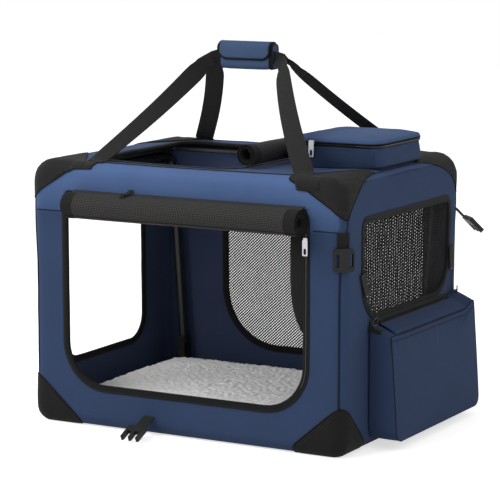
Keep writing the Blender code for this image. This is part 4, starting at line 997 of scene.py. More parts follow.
def make_net(name, side, pitch, families):
    """Two families of flat strands; each has a strand width and a lean in degrees."""
    line = opening(side, 0.004, 0.03, 10)
    verts, faces, uv = [], [], []
    for over, (width, lean) in zip((-1, 1), families):
        a = math.radians(lean)
        way = (math.cos(a), math.sin(a))
        out = (-way[1], way[0])
        spread = [u * out[0] + v * out[1] for u, v in line]
        for k in range(math.ceil(min(spread) / pitch), math.floor(max(spread) / pitch) + 1):
            base = (out[0] * k * pitch, out[1] * k * pitch)
            reach = clip_line(line, base, way)
            if not reach:
                continue
            pieces = max(1, round((reach[1] - reach[0]) / 0.05))
            start = len(verts)
            for i in range(pieces + 1):
                t = reach[0] + (reach[1] - reach[0]) * i / pieces
                for across, lift in ((-1, 0), (0, 1), (1, 0), (0, -1)):
                    u = base[0] + way[0] * t + out[0] * across * width / 2
                    v = base[1] + way[1] * t + out[1] * across * width / 2
                    depth = NET_DEPTH + over * NET_WEAVE + lift * STRAND_HALF_THICK
                    verts.append(on_wall(side, u, v, depth))
                    uv.append((t, across * width / 2))
            for face in strips(pieces + 1, 4) + caps(pieces + 1, 4):
                faces.append(tuple(start + index for index in face))
    obj = build(f"{name}_strands", verts, faces, "net", uv, 0)
    ride(obj, "base", "fold", name)


make_net("rear_window_net", "rear", 0.0047, ((0.0033, 42), (0.0016, -48)))
make_net("right_window_net", "right", 0.0045, ((0.0032, 40), (0.0018, -50)))

# Rolled doors
NET_THICK, ROLL_PITCH, ROLL_TURN_STEPS, ROLL_SECTION = 0.0017, 0.0024, 20, 0.012
ROLL_HEM, HEM_RISE, ROLL_STAGGER = 0.021, 0.0008, 0.0016
FRONT_ROLL = (0.0135, -0.2878, 0.448)


def make_roll(name, radius, length, axis, at, starts, body, squash, core=0.42):
    """A door rolled up: many turns of thin net, its turns showing at the ends, and a loose hem."""
    turns = radius * (1 - core) / ROLL_PITCH
    steps = int(turns * ROLL_TURN_STEPS)
    outer, inner = [], []
    for i in range(steps + 1):
        angle = 2 * math.pi * turns * i / steps
        reach = radius - ROLL_PITCH * angle / (2 * math.pi) + 0.0003 * math.sin(angle * 2.3 + 1)
        a = angle + math.radians(starts)
        outer.append((a, reach))
        inner.append((a, reach - NET_THICK))
    ring = outer + inner[::-1]
    size, seed = len(ring), len(name)
    sections = max(2, round(length / ROLL_SECTION))
    verts, uv = [], []
    for s in range(sections + 1):
        along = -length / 2 + length * s / sections
        dent = 0.03 * max(0.0, noise.noise(Vector((along * 5, 2.5, seed))))
        for a, reach in ring:
            stagger = ROLL_STAGGER * math.sin(a * 0.5 + 0.6) if s in (0, sections) else 0.0
            place = along + stagger * (1 if s == 0 else -1)
            soft = 0.0007 * noise.noise(Vector((along * 14, math.cos(a) * 0.8, math.sin(a) * 0.8 + seed)))
            hemmed = HEM_RISE if abs(place) > length / 2 - ROLL_HEM else 0.0
            r = min(radius, reach + soft) * (1.0 - dent * max(0.0, -math.sin(a))) + hemmed
            spot = [r * math.cos(a), r * math.sin(a)]
            spot.insert(axis, place)
            verts.append([c + d for c, d in zip(at, spot)])
            uv.append((along, a * radius))
    faces = strips(sections + 1, size)
    top = sections * size
    for k in range(steps):
        faces.append((k, k + 1, size - 2 - k, size - 1 - k))
        faces.append((top + k + 1, top + k, top + size - 1 - k, top + size - 2 - k))
    obj = build(f"{name}_cloth", verts, faces, "roll hem", uv, 50)
    face_out(obj)
    for face in obj.data.polygons:
        if abs(face.center[axis] - at[axis]) > length / 2 - ROLL_HEM:
            face.material_index = 1
    ride(obj, body, squash, name)


make_roll("front_door_roll", 0.0258, 0.514, 0, FRONT_ROLL, 232, "base", "fold")
make_roll("left_door_roll", 0.0163, 0.304, 1, (-0.3287, 0.0, 0.4345), 180, "base", "fold")
make_roll("roof_door_roll", 0.0213, 0.340, 1, (0.0915, 0.0, 0.5518), 270, "top", None, core=0.5)

TIE_X, TIE_WIDTH, TIE_REACH, TIE_START, TIE_TURN = -0.113, 0.010, 0.0272, 72, 42
TIE_ROOT = ((-0.2608, 0.4820), (-0.2660, 0.4790))
TOGGLE_Y, TOGGLE_Z, TOGGLE_HALF, TOGGLE_RADIUS = -0.2905, 0.4773, 0.0085, 0.0024
LEAD_FIRST, LEAD_LAST, LEAD_Y, LEAD_Z = -0.2425, 0.2690, -0.2728, 0.4724


def make_tie():
    """The elastic tie and toggle that hold the front roll up."""
    path = [Vector((TIE_X, *place)) for place in TIE_ROOT]
    _, y, z = FRONT_ROLL
    for i in range(6):
        a = math.radians(TIE_START + TIE_TURN * i / 5)
        path.append(Vector((TIE_X, y + TIE_REACH * math.cos(a), z + TIE_REACH * math.sin(a))))
    halves = [Vector((TIE_WIDTH / 2, 0, 0))] * len(path)
    strap("front_roll_tie", path, halves, 0.0014, "base", "fold", columns=4)
    rings = []
    for i in range(9):
        t = -1 + i / 4
        thin = TOGGLE_RADIUS * math.sqrt(max(0.02, 1 - (abs(t) ** 3)))
        turns = [2 * math.pi * k / 12 for k in range(12)]
        circle = [(thin * math.cos(a), thin * math.sin(a)) for a in turns]
        rings.append([(TIE_X + t * TOGGLE_HALF, TOGGLE_Y + y, TOGGLE_Z + z) for y, z in circle])
    ride(loft("front_roll_toggle", rings, "plastic"), "base", "fold")


def make_roll_lead():
    """The strip of door cloth that runs from the opening's top edge out to the front roll."""
    steps, long = 32, LEAD_LAST - LEAD_FIRST
    path = [Vector((LEAD_FIRST + long * i / steps, LEAD_Y, LEAD_Z)) for i in range(steps + 1)]
    halves = [Vector((0, 0.0104, 0.0022))] * len(path)
    strap("front_roll_lead", path, halves, 0.0012, "base", "fold", columns=4,
          material="roll")


# The inner edge of the guard beside the front door's zip, in X and Z, and the guard's other places
GUARD = [(0.2360, 0.4440), (0.2350, 0.40), (0.2350, 0.35), (0.2355, 0.31), (0.2400, 0.28), (0.2480, 0.256),
         (0.2590, 0.238)]
GUARD_RIGHT_X, GUARD_Y, GUARD_COLUMNS = 0.2680, -0.2562, 5


def make_zip_flap():
    """The cloth guard beside the front door's zip, and the zip's line of teeth."""
    left = smoothed([Vector(p) for p in GUARD], 1)
    verts, uv = [], []
    for a in left:
        b = Vector((GUARD_RIGHT_X, a.y))
        for k in range(GUARD_COLUMNS + 1):
            share = k / GUARD_COLUMNS
            p = a.lerp(b, share)
            wave = 0.0008 * noise.noise(Vector((p.x * 40, p.y * 12, 6.0)))
            verts.append((p.x, GUARD_Y + wave - 0.0015 * (1 - share), p.y))
            uv.append((p.y, p.x))
    flap = build("door_zip_guard", verts, strips(len(left), GUARD_COLUMNS + 1, False), "hem", uv)
    sew(flap, 0.0014, "base", "fold", offset=0.0)
    line = opening("front", 0.0060, 0.008, 10)
    teeth = [on_wall("front", u, v, 0.0020) for u, v in line if u > 0.20 and 0.12 < v < 0.43]
    teeth.sort(key=lambda p: p.z)
    cord("door_zip_teeth", teeth, 0.0011, "nickel_dull", "base")


# Fleece pad
PAD_HALF_X, PAD_HALF_Y, PAD_LOW, PAD_HIGH = 0.3060, 0.2210, 0.0034, 0.0520
PAD_COLUMNS, PAD_ROWS = 204, 148
TUFT, FINE_TUFT, JIG = 0.0030, 0.0016, 0.0016
# The pad's edge, from its upper rim down: share of the height and how far it stands out
PAD_EDGE = ((0.88, 0.0026), (0.7, 0.0040), (0.5, 0.0044), (0.28, 0.0034), (0.0, 0.0))


def curl(x, y, z):
    tuft = noise.noise(Vector((x * 115, y * 115, z * 90)))
    fine = noise.noise(Vector((x * 260, y * 260, z * 200 + 5)))
    return TUFT * tuft + FINE_TUFT * fine


def pad_top(u, v):
    """The height of the pile at a place from -1 to 1 each way."""
    flat = (1 - abs(u) ** 22) * (1 - abs(v) ** 22)
    x, y = u * PAD_HALF_X, v * PAD_HALF_Y
    wave = 0.0030 * noise.noise(Vector((x * 7, y * 7, 9.0)))
    high = PAD_LOW + (PAD_HIGH - PAD_LOW) * (0.70 + 0.30 * flat**0.5)
    return high + wave * min(1.0, flat * 3) + curl(x, y, 1.0) + 0.0015


def make_pad():
    """The fleece pad: a stuffed body whose curly pile stands up all over and over its edges."""
    wide = PAD_COLUMNS + 1
    verts, uv = [], []
    for j in range(PAD_ROWS + 1):
        for i in range(wide):
            u, v = 2 * i / PAD_COLUMNS - 1, 2 * j / PAD_ROWS - 1
            x, y = u * PAD_HALF_X, v * PAD_HALF_Y
            jig = JIG * noise.noise(Vector((x * 170, y * 170, 12.0)))
            slide = JIG * noise.noise(Vector((x * 150, y * 150, 31.0)))
            verts.append((x + jig, y + slide, pad_top(u, v)))
            uv.append((x, y))
    faces = strips(PAD_ROWS + 1, wide, False)
    rim = [(i, 0) for i in range(PAD_COLUMNS)] + [(PAD_COLUMNS, j) for j in range(PAD_ROWS)]
    rim += [(i, PAD_ROWS) for i in range(PAD_COLUMNS, 0, -1)] + [(0, j) for j in range(PAD_ROWS, 0, -1)]
    first = [j * wide + i for i, j in rim]
    last = first
    for share, puff in PAD_EDGE:
        row = []
        for index, (i, j) in zip(first, rim):
            x, y, z = verts[index]
            u, v = 2 * i / PAD_COLUMNS - 1, 2 * j / PAD_ROWS - 1
            out = Vector((u**21, v**21)).normalized() * (puff + curl(x, y, share) * min(1.0, share * 3))
            row.append(len(verts))
            verts.append((x + out.x, y + out.y, PAD_LOW + (z - PAD_LOW) * share))
            uv.append((x, y + share * 0.05))
        for k in range(len(row)):
            m = (k + 1) % len(row)
            faces.append((last[m], last[k], row[k], row[m]))
        last = row
    faces.append(tuple(last[::-1]))
    obj = build("fleece_pad_pile", verts, faces, "fleece", uv, 0)
    face_out(obj)
    ride(obj, "base", None, "fleece_pad")


# Pouch on the roof: its low and high X, its low and high Y, its foot, and its rim under the lid
POUCH = (0.136, 0.330, -0.085, 0.130)
POUCH_LOW, POUCH_RIM, POUCH_CROWN, POUCH_RADIUS = 0.5303, 0.5743, 0.0085, 0.030
POUCH_MIDDLE = ((POUCH[0] + POUCH[1]) / 2, (POUCH[2] + POUCH[3]) / 2)
POUCH_SIDES = ((0.08, 0.0022), (0.25, 0.0030), (0.5, 0.0024), (0.75, 0.0008), (0.92, -0.0006))
POUCH_BAND = ((-0.0010, -0.0064), (0.0, -0.0050), (0.0, -0.0012), (-0.0012, -0.0002))
LID_EDGE = ((0.0, -0.0004), (0.25, 0.0004), (0.6, 0.0000), (1.0, -0.0022))
LID_SPREADS = (0.985, 0.96, 0.92, 0.87, 0.81, 0.74, 0.66, 0.56, 0.45, 0.32, 0.18, 0.06)
# Painted shade on the pouch's front wall and, slightly, on its other walls; painted light on its lid
POUCH_FRONT_SHADE, POUCH_WALL_SHADE, LID_LIGHT = 0.72, 0.95, 1.75


def pouch_ring(grow, z, wobble=0.0):
    """The pouch's outline, grown and slightly uneven, at a height."""
    points = offset(rounded(*POUCH, POUCH_RADIUS, POUCH_RADIUS, 0.009, 7), grow)
    ring = []
    for k, (x, y) in enumerate(points):
        shift = wobble * noise.noise(Vector((x * 26, y * 26, k * 0.01 + wobble * 900)))
        way = Vector((x - POUCH_MIDDLE[0], y - POUCH_MIDDLE[1])).normalized() * shift
        ring.append((x + way.x, y + way.y, z))
    return ring


def on_roof(ring, lift):
    """A ring laid on the roof's cloth."""
    return [(x, y, HEIGHT + sag(Vector((x, y, HEIGHT)), Vector((0, 0, 1))) + lift) for x, y, _ in ring]


def make_pouch():
    """The roof pouch: a soft box with a zip round its rim, a domed lid and a piped foot."""
    shoulder = POUCH_RIM - 0.006
    rings = [on_roof(pouch_ring(0.0012, HEIGHT), 0.0003)]
    for share, grow in POUCH_SIDES:
        rings.append(pouch_ring(grow, POUCH_LOW + (shoulder - POUCH_LOW) * share, 0.0026))
    rings.append(pouch_ring(-0.0012, shoulder, 0.0010))
    body = loft("pouch_body_cloth", rings, "oxford inside", closed_top=False)
    sew(body, SOFT_CLOTH, "top", None, "pouch_body", inner=1)
    # Painted shade: the pouch's front wall darker and its other walls a little darker
    for item, vert in zip(body.data.attributes["tone"].data, body.data.vertices):
        item.value = POUCH_FRONT_SHADE if vert.co.y < POUCH[2] + 0.006 else POUCH_WALL_SHADE
    rings = [pouch_ring(grow, POUCH_RIM + rise) for grow, rise in POUCH_BAND]
    band = loft("pouch_zip_band", rings, "zip", False, False)
    sew(band, BAND_CLOTH, "top")
    foot = on_roof(pouch_ring(0.0020, HEIGHT), 0.0012)
    cord("pouch_foot_piping", foot, 0.0012, "piping", "top", closed=True)
    rings = [pouch_ring(grow, POUCH_RIM + 0.0003 + 0.0078 * share, 0.0008) for share, grow in LID_EDGE]
    mx, my = POUCH_MIDDLE
    for spread in LID_SPREADS:
        ring = []
        for x, y, _ in pouch_ring(-0.0022, 0.0):
            u, v = mx + (x - mx) * spread, my + (y - my) * spread
            crown = (1 - spread**4) * POUCH_CROWN
            crown += 0.0018 * noise.noise(Vector((u * 22, v * 22, 3.0))) * (1 - spread**6)
            ring.append((u, v, POUCH_RIM + 0.0081 + crown))
        rings.append(ring)
    lid = loft("pouch_lid_cloth", rings, "oxford inside", closed_bottom=False, auto=60)
    sew(lid, SOFT_CLOTH, "pouch_lid", None, "pouch_lid", inner=1)
    # Painted light: the pouch's lid lighter
    for item in lid.data.attributes["tone"].data:
        item.value = LID_LIGHT
    teeth = pouch_ring(0.0006, POUCH_RIM - 0.0030)
    cord("pouch_zip_teeth", teeth, 0.0008, "nickel_dull", "top", closed=True)
    edge = pouch_ring(0.0004, POUCH_RIM + 0.0010)
    cord("pouch_lid_piping", edge, 0.0011, "black_piping", "pouch_lid", closed=True)


# Handle: how far each strap's foot stands from the middle, as in the photo
STRAP_FEET = {
    ("front", "left"): 0.208,
    ("front", "right"): 0.249,
    ("rear", "left"): 0.236,
    ("rear", "right"): 0.226,
}
FOOT_Y, FOOT_Z, FOOT_WIDTH, FOOT_LENGTH, FOOT_SLANT = 0.230, 0.5322, 0.062, 0.038, 0.014
FOOT_ROWS, FOOT_COLUMNS = 14, 8
GRIP_Y, GRIP_Z, GRIP_HALF, GRIP_BEND = 0.005, 0.730, 0.0625, 0.030
STRAP_HALF, LEG_STEPS, LEG_BOW, BEND_STEPS, TOP_STEPS = 0.019, 26, 0.008, 6, 5
# Where a strap starts to narrow, as a share of its slope, and half its least width
PINCH = {"front": (0.82, 0.0125), "rear": (0.78, 0.0105)}
PINCH_END = 0.96


def make_foot_band(side, end):
    """The end of a handle strap, sewn down along the roof's seam towards the corner patch."""
    sy, sx = (-1 if side == "front" else 1), (-1 if end == "left" else 1)
    rows, columns = FOOT_ROWS, FOOT_COLUMNS
    inner = STRAP_FEET[side, end] - FOOT_SLANT
    first = -0.011 if end == "left" else 0.001
    verts, uv = [], []
    for i in range(columns + 1):
        for k in range(rows + 1):
            run = first + FOOT_LENGTH * k / rows + 0.003 * i / columns
            slant = FOOT_SLANT * k / rows
            x = sx * (inner + slant + (FOOT_WIDTH - slant) * i / columns)
            if run <= 0:
                p, n = Vector((x, sy * (CUT_Y + run), HEIGHT)), Vector((0, 0, 1))
            else:
                p, n = cap(x, HEIGHT + RIM * TURN_EXTRA - run, sy)
            verts.append(skin(p, n, 0.0004))
            uv.append((x, run))
    faces = strips(columns + 1, rows + 1, False)
    band = build(f"handle_foot_band_{side}_{end}", verts, faces, "webbing", uv)
    if band.data.polygons[0].normal.z < 0:
        band.data.flip_normals()
    sew(band, BAND_CLOTH, "top", offset=1.0)


def strap_half(name, end):
    """One leg of a handle strap, from its foot up to the middle of the grip, drawn on the left."""
    side = -1 if name == "front" else 1
    foot = Vector((-STRAP_FEET[name, end], side * FOOT_Y, FOOT_Z))
    first, last = Vector((-1.0, 0.0, 0.0)), Vector((0.0, 0.45, 0.89) if side < 0 else (0.0, -0.8, 0.6))
    turn = Vector((-(GRIP_HALF + 0.015), side * GRIP_Y, GRIP_Z))
    corner = turn + Vector((GRIP_BEND, 0, 0))
    line = [foot + Vector((-0.002, side * 0.010, -0.0022)), foot + Vector((-0.001, side * 0.005, -0.0007))]
    for i in range(LEG_STEPS + 1):
        t = i / LEG_STEPS
        line.append(foot.lerp(turn, t) + Vector((LEG_BOW * math.sin(math.pi * t), 0, 0)))
    line = [p for p in line if (p - turn).length > GRIP_BEND or p.z < 0.6]
    away = (foot - turn).normalized() * GRIP_BEND + turn
    bend = [i / BEND_STEPS for i in range(BEND_STEPS + 1)]
    line += [away.lerp(turn, t).lerp(turn.lerp(corner, t), t) for t in bend]
    level = [1 - i / TOP_STEPS for i in range(1, TOP_STEPS + 1)]
    line += [Vector((corner.x * share, side * GRIP_Y, GRIP_Z)) for share in level]
    slope = (turn - foot).length
    start, least = PINCH[name]
    widths = []
    for i, p in enumerate(line):
        share = min(1.0, (p - foot).length / slope) if i > 1 else 0.0
        quarter = share * math.pi / 2
        pinch = unit((share - start) / (PINCH_END - start))
        half = STRAP_HALF - (STRAP_HALF - least) * pinch * pinch * (3 - 2 * pinch)
        way = first * math.cos(quarter) + last * math.sin(quarter)
        if p.x > turn.x + 0.004:
            way = Vector((0, 0, 1))
        along = (line[min(i + 1, len(line) - 1)] - line[max(i - 1, 0)]).normalized()
        way -= along * way.dot(along)
        widths.append(way.normalized() * half)
    return line, widths


def make_handle_strap(name):
    """Both legs of a handle strap as one run of webbing."""
    path, widths = strap_half(name, "left")
    for mine, other in zip((path, widths), strap_half(name, "right")):
        mine += [Vector((-p.x, p.y, p.z)) for p in reversed(other[:-1])]
    node, flat = f"handle_strap_{name}", (2 * STRAP_HALF, length_of(path))
    strap(f"{node}_webbing", path, widths, 0.0021, "top", "handle", node, 8)


make_pad()
make_pouch()
make_tie()
make_roll_lead()
make_zip_flap()
for side in ("front", "rear"):
    for end in ("left", "right"):
        make_foot_band(side, end)
make_handle_strap("front")
make_handle_strap("rear")

# The handle's padded wrap, its end bands and its flap: half sizes of the wrap's section, and its corners
WRAP_HALF_Y, WRAP_HALF_Z, WRAP_RADIUS, WRAP_LENGTH, WRAP_PINCH = 0.0146, 0.0265, 0.0118, 0.125, 0.09
WRAP_SECTIONS = 16
WRAP_BAND = ((0.0545, 0.0002), (0.0555, 0.0012), (0.0625, 0.0012), (0.0632, -0.0010))
FLAP_GAP, FLAP_LENGTH, FLAP_COLUMNS, FLAP_DROP = 0.0006, 0.115, 18, 0.032
# The share of the flap's half length where its corners start to round off, and how much they rise
FLAP_CORNER, FLAP_ROUND = 0.72, 0.012


def wrap_flap_profile():
    """The flap's section in Y and Z, from the wrap's rear shoulder over its top and down its front."""
    reach = WRAP_RADIUS + FLAP_GAP
    profile = []
    for middle, start, turn in ((WRAP_HALF_Y - WRAP_RADIUS, 45, 45), (WRAP_RADIUS - WRAP_HALF_Y, 90, 90)):
        for k in range(9):
            a = math.radians(start + turn * k / 8)
            profile.append((middle + reach * math.cos(a), WRAP_HALF_Z - WRAP_RADIUS + reach * math.sin(a)))
    high, low = profile[-1][1], WRAP_HALF_Z - FLAP_DROP
    for k in range(1, 5):
        bow = 0.0006 * math.sin(k / 4 * math.pi)
        profile.append((-WRAP_HALF_Y - FLAP_GAP - bow, high + (low - high) * k / 4))
    return profile


def make_wrap():
    """The padded wrap round the grip, with its end bands and its flap."""
    radius = WRAP_RADIUS * 0.9
    section = rounded(-WRAP_HALF_Y, WRAP_HALF_Y, -WRAP_HALF_Z, WRAP_HALF_Z, radius, radius, 0.006, 6)
    rings = []
    for i in range(WRAP_SECTIONS + 1):
        x = -WRAP_LENGTH / 2 + WRAP_LENGTH * i / WRAP_SECTIONS
        pinch = 1 - WRAP_PINCH * abs(2 * i / WRAP_SECTIONS - 1) ** 6
        ring = []
        for u, v in section:
            u, v = u * pinch, v * pinch
            way = Vector((u, v)).normalized() * (0.0007 * noise.noise(Vector((x * 30, u * 60, v * 60))))
            ring.append((x, u + way.x, GRIP_Z + v + way.y))
        rings.append(ring)
    wrap = loft("handle_wrap_pad", rings, "handle")
    ride(wrap, "grip", None, "handle_wrap")
    for name, way in (("left", -1), ("right", 1)):
        rings = []
        for x, grow in WRAP_BAND:
            pinch = 1 - WRAP_PINCH * (x / GRIP_HALF) ** 6
            rings.append([(way * x, u * pinch, GRIP_Z + v * pinch) for u, v in offset(section, grow)])
        band = loft(f"handle_wrap_end_band_{name}", rings, "tape", False, False)
        sew(band, 0.0009, "grip")
    profile = wrap_flap_profile()
    size = len(profile)
    verts, uv = [], []
    for i in range(FLAP_COLUMNS + 1):
        t = i / FLAP_COLUMNS
        x = -FLAP_LENGTH / 2 + FLAP_LENGTH * t
        curve = max(0.0, abs(2 * t - 1) - FLAP_CORNER) / (1 - FLAP_CORNER)
        run = 0
        for k, (u, v) in enumerate(profile):
            rise = FLAP_ROUND * curve**2 * max(0, k - 17) / 4
            verts.append((x, u, GRIP_Z + v + rise))
            if k:
                run += math.dist(profile[k], profile[k - 1])
            uv.append((x, run))
    flap = build("handle_flap_cloth", verts, strips(FLAP_COLUMNS + 1, size, False), "handle inside", uv, 60)
    sew(flap, 0.0020, "grip_flap", None, "handle_flap", 1.0, 1)
    border = [verts[i * size + size - 1] for i in range(FLAP_COLUMNS + 1)]
    left, right = verts[4:size - 1], verts[FLAP_COLUMNS * size + 4:-1]
    path = [Vector(p) + Vector((0, -0.0008, 0)) for p in left + border + right[::-1]]
    cord("handle_flap_border", path, 0.0023, "black_piping", "grip_flap", sides=8)


make_wrap()

# Side pocket
POCKET_LOW_Y, POCKET_HIGH_Y, POCKET_LOW, POCKET_HIGH = -0.1560, 0.2325, 0.0190, 0.2200
POCKET_BACK, POCKET_FRONT, POCKET_LEAN, POCKET_RISE = 0.3524, 0.3965, 0.0155, 0.0185
POCKET_SIDES = ((0.0, 0.0), (0.06, 0.0006), (0.3, 0.0016), (0.6, 0.0018), (0.85, 0.0008), (0.97, 0.0))
POCKET_SPREADS = (0.996, 0.985, 0.965, 0.94, 0.91, 0.87, 0.82, 0.76, 0.68, 0.58, 0.46, 0.3, 0.12)
POCKET_BULGE = 0.0040
# The lid's section in X and Z, its first Y, its length, and the faces at its back that are zip tape
POCKET_LID = [(0.3548, 0.2412), (0.3590, 0.2412), (0.3620, 0.2400), (0.3700, 0.2368), (0.3800, 0.2322),
              (0.3880, 0.2276), (0.3945, 0.2232)]
LID_FIRST_Y, LID_LENGTH, LID_COLUMNS, LID_ZIP_FACES = -0.1295, 0.3300, 44, 2
BAND_Z, BAND_FIRST_Y, BAND_LENGTH, BAND_WIDTH = 0.2400, -0.150, 0.3600, 0.017
RING_TABS = {"front": -0.1500, "rear": 0.2240}


def bell(distance, width):
    return math.exp(-((distance / width) ** 2))


def pocket_place(share, y, z):
    """A place on the pocket's gusset: 0 at the wall, 1 at the front edge, which leans out lower down."""
    down = (POCKET_HIGH - z) / (POCKET_HIGH - POCKET_LOW)
    front = POCKET_FRONT + POCKET_LEAN * max(0.0, down) ** 0.8
    back_rise = POCKET_RISE * (1 - share) * max(0.0, 1 - down) ** 0.5
    pull = max(0.0, 1 - down * 6) * (0.0150 * bell(y - 0.235, 0.030) + 0.002 * bell(y + 0.150, 0.03))
    return Vector((POCKET_BACK + (front - POCKET_BACK) * share, y, z + back_rise + pull))


def pucker(y, z):
    """Small gathers under the pocket's top seam, and soft unevenness lower down."""
    gather = math.sin(y * 330 + 3.0 * noise.noise(Vector((y * 20, 1.0, 0.0))))
    uneven = 0.0013 * noise.noise(Vector((1.0, y * 13, z * 13)))
    return 0.0011 * bell(POCKET_HIGH - 0.012 - z, 0.020) * gather + uneven


def make_pocket():
    """The pocket's bag, with its piping and its top seam."""
    line = rounded(POCKET_LOW_Y, POCKET_HIGH_Y, POCKET_LOW, POCKET_HIGH, 0.020, 0.005, 0.010, 5)
    my, mz = (POCKET_LOW_Y + POCKET_HIGH_Y) / 2, (POCKET_LOW + POCKET_HIGH) / 2
    rings = []
    for share, puff in POCKET_SIDES:
        ring = []
        for y, z in line:
            side_out = math.copysign(1.0, y - my) if abs(y - my) > 0.18 else 0.0
            soft = puff + 0.0010 * share * noise.noise(Vector((share * 3, y * 14, z * 22)))
            p = pocket_place(share, y + side_out * soft, z)
            ring.append((p.x, p.y, max(0.0138, p.z)))
        rings.append(ring)
    for spread in POCKET_SPREADS:
        full = min(1.0, (1 - spread) / 0.03)
        ring = []
        for y, z in line:
            u, v = my + (y - my) * spread, mz + (z - mz) * spread
            p = pocket_place(1.0, u, v)
            ring.append((p.x + (1 - spread**3) * POCKET_BULGE + full * pucker(u, v), p.y, p.z))
        rings.append(ring)
    body = loft("pocket_body_cloth", rings, "pocket inside", auto=38)
    sew(body, SOFT_CLOTH, "base", "fold", "pocket_body", inner=1)
    edge = [pocket_place(0.985, y, max(0.0150, z)) + Vector((0.0004, 0, 0)) for y, z in line]
    cord("pocket_front_piping", edge, 0.0010, "piping", "base", closed=True)
    first, long = POCKET_LOW_Y + 0.004, POCKET_HIGH_Y - POCKET_LOW_Y - 0.008
    seam = [pocket_place(1.0, first + long * i / 60, POCKET_HIGH - 0.0085) for i in range(61)]
    seam = [p + Vector((0.0010 + pucker(p.y, p.z), 0, 0)) for p in seam]
    cord("pocket_top_seam", seam, 0.0007, "piping", "base")


def make_pocket_top():
    """The pocket's lid, the band along its back edge, and the tabs that hold its two rings."""
    verts, uv = [], []
    for i in range(LID_COLUMNS + 1):
        y = LID_FIRST_Y + LID_LENGTH * i / LID_COLUMNS
        for x, z in POCKET_LID:
            verts.append((x, y, z + 0.0010 * noise.noise(Vector((x * 50, y * 22, 2.0)))))
            uv.append((y, x))
    size = len(POCKET_LID)
    faces = strips(LID_COLUMNS + 1, size, False)
    lid = build("pocket_lid_cloth", verts, faces, "pocket inside zip", uv, 60)
    for face in lid.data.polygons:
        if face.index % (size - 1) < LID_ZIP_FACES:
            face.material_index = 2
    sew(lid, 0.0018, "pocket_lid", None, "pocket_lid", 0.0)
    path = [on_wall("right", BAND_FIRST_Y + BAND_LENGTH * i / 40, BAND_Z, 0.0014) for i in range(41)]
    halves = [Vector((0, 0, BAND_WIDTH / 2))] * len(path)
    strap("pocket_back_band", path, halves, 0.0014, "base", "fold", columns=3)
    for name, y in RING_TABS.items():
        rings = []
        for i in range(7):
            t = i / 6
            x, top = 0.3530 + 0.0230 * t, BAND_Z - 0.0085 * t
            half_w, half_h = 0.0100 - 0.0015 * t, 0.0060 - 0.0020 * t
            section = rounded(-half_w, half_w, -half_h, half_h, 0.0035, 0.0035, 0.004, 3)
            rings.append([(x, y + a, top + b - half_h) for a, b in section])
        ride(loft(f"pocket_ring_tab_{name}", rings, "webbing"), "base", "fold")


make_pocket()
make_pocket_top()

# Short straps
STRAP_STEPS, SHORT_STRAP_THICK = 12, 0.0018


def make_short_strap(node, body, squash=None):
    """Webbing in the place of a flat CAD strap, from that strap's own three axes."""
    source = NODES[node].data
    points = [v.co.copy() for v in source.vertices]
    middle = sum(points, Vector()) / len(points)
    edges = [points[e.vertices[0]] - points[e.vertices[1]] for e in source.edges]
    axes = []
    for edge in sorted(edges, key=lambda d: d.length):
        way = edge.normalized()
        if len(axes) < 3 and all(abs(way.dot(axis)) < 0.02 for axis in axes):
            axes.append(way)
    spans = []
    for axis in axes:
        reach = [(p - middle).dot(axis) for p in points]
        spans.append((max(reach) - min(reach), axis, (max(reach) + min(reach)) / 2))
    spans.sort(key=lambda span: span[0])
    (wide, across, mid_a), (long, along, mid_b) = spans[1:]
    centre = middle + across * mid_a + along * mid_b
    path = [centre + along * long * (i / STRAP_STEPS - 0.5) for i in range(STRAP_STEPS + 1)]
    halves = [across * wide / 2] * len(path)
    strap(f"{node}_webbing", path, halves, SHORT_STRAP_THICK, body, squash, node)


for node in ("front_strap", "corner_strap", "rear_strap"):
    make_short_strap(node, node)
for node in ("hanger_strap_front", "hanger_strap_rear"):
    make_short_strap(node, "base", "fold")

# CAD nodes that stay as they are, with their finish
FINISHES = {
    "steel": """bottom_frame top_frame left_hoop right_hoop left_bracket_front left_bracket_rear
        right_bracket_front right_bracket_rear snap_hook_front snap_hook_rear pocket_ring_front
        pocket_ring_rear""",
    "plastic": """left_clip_front left_clip_rear right_clip_front right_clip_rear crossbar_sleeve
        front_buckle corner_buckle rear_buckle""",
    "nickel": "pouch_zip_slider door_zip_slider",
}
for finish, names in FINISHES.items():
    for name in names.split():
        for slot in NODES[name].material_slots:
            slot.link = "OBJECT"
            slot.material = MAT[finish]

# Stage, lights and camera
WHITE = (1.0, 1.0, 1.0)
FLOOR_HALF, FLOOR_Z, FLOOR_GREY, FLOOR_GLOW = 9, -0.0004, 0.82, 0.62
SKY_LEVEL = 0.60


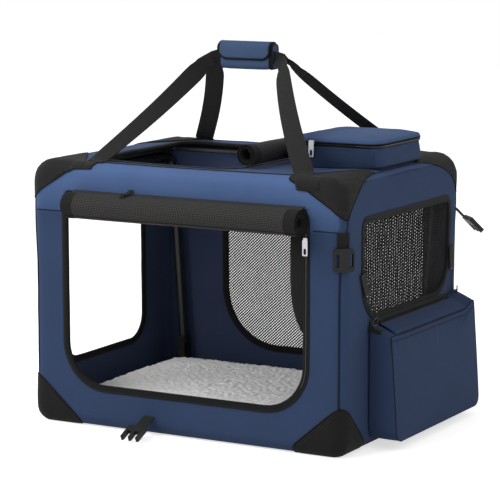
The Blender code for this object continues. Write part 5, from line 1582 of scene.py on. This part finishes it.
def make_floor():
    """A white floor that keeps the shadow."""
    corners = [(x, y, FLOOR_Z) for x, y in ((-1, -1), (1, -1), (1, 1), (-1, 1))]
    mesh = bpy.data.meshes.new("floor")
    mesh.from_pydata([(x * FLOOR_HALF, y * FLOOR_HALF, z) for x, y, z in corners], [], [(0, 1, 2, 3)])
    floor = bpy.data.objects.new("floor", mesh)
    bpy.context.scene.collection.objects.link(floor)
    material = bpy.data.materials.new("floor_white")
    material.use_nodes = True
    material.node_tree.nodes.clear()
    make = Nodes(material.node_tree)
    grey = make.add("BsdfDiffuse", (FLOOR_GREY, FLOOR_GREY, FLOOR_GREY)).outputs[0]
    glow = make.add("Emission", WHITE, make.times(make.seen(), FLOOR_GLOW)).outputs[0]
    make.add("OutputMaterial", make.add("AddShader", grey, glow).outputs[0])
    mesh.materials.append(material)


def make_world():
    """Even light all round, which the camera sees as white."""
    world = bpy.data.worlds.new("studio")
    bpy.context.scene.world = world
    world.use_nodes = True
    world.node_tree.nodes.clear()
    make = Nodes(world.node_tree)
    level = make.plus(make.times(make.seen(), 1 - SKY_LEVEL), SKY_LEVEL)
    make.add("OutputWorld", make.add("Background", WHITE, level).outputs[0])


def face_to(obj, at, target):
    """Place a lamp or the camera, and point it at a target."""
    obj.location = at
    obj.rotation_euler = (Vector(target) - Vector(at)).to_track_quat("-Z", "Y").to_euler()
    bpy.context.scene.collection.objects.link(obj)


def lamp(name, at, target, size, power):
    light = bpy.data.lights.new(name, "AREA")
    light.energy = power
    light.size = size
    face_to(bpy.data.objects.new(name, light), at, target)


make_floor()
make_world()
lamp("key", (-1.4, -2.6, 3.2), (0, 0, 0.3), 2.2, 75)
lamp("fill", (3.2, -1.6, 1.8), (0, 0, 0.3), 2.4, 18)
lamp("side", (-2.6, -0.7, 1.1), (0, 0, 0.1), 1.4, 26)

# The camera as fitted to the photo: its place, its aim, and its focal length in pixels
CAMERA_AT, CAMERA_AIM = (2.1817, -3.9046, 1.0337), (0.0, 0.0, 0.26)
FOCAL_PIXELS, PHOTO_PIXELS, SENSOR, SHIFT_X, SHIFT_Y = 2236.7, 500.0, 36.0, 0.0043, 0.0759
camera_data = bpy.data.cameras.new("camera")
camera_data.sensor_width = SENSOR
camera_data.lens = FOCAL_PIXELS * SENSOR / PHOTO_PIXELS
camera_data.shift_x = SHIFT_X
camera_data.shift_y = SHIFT_Y
camera = bpy.data.objects.new("camera", camera_data)
face_to(camera, CAMERA_AT, CAMERA_AIM)
scene = bpy.context.scene
scene.view_settings.view_transform = "Standard"
scene.camera = camera
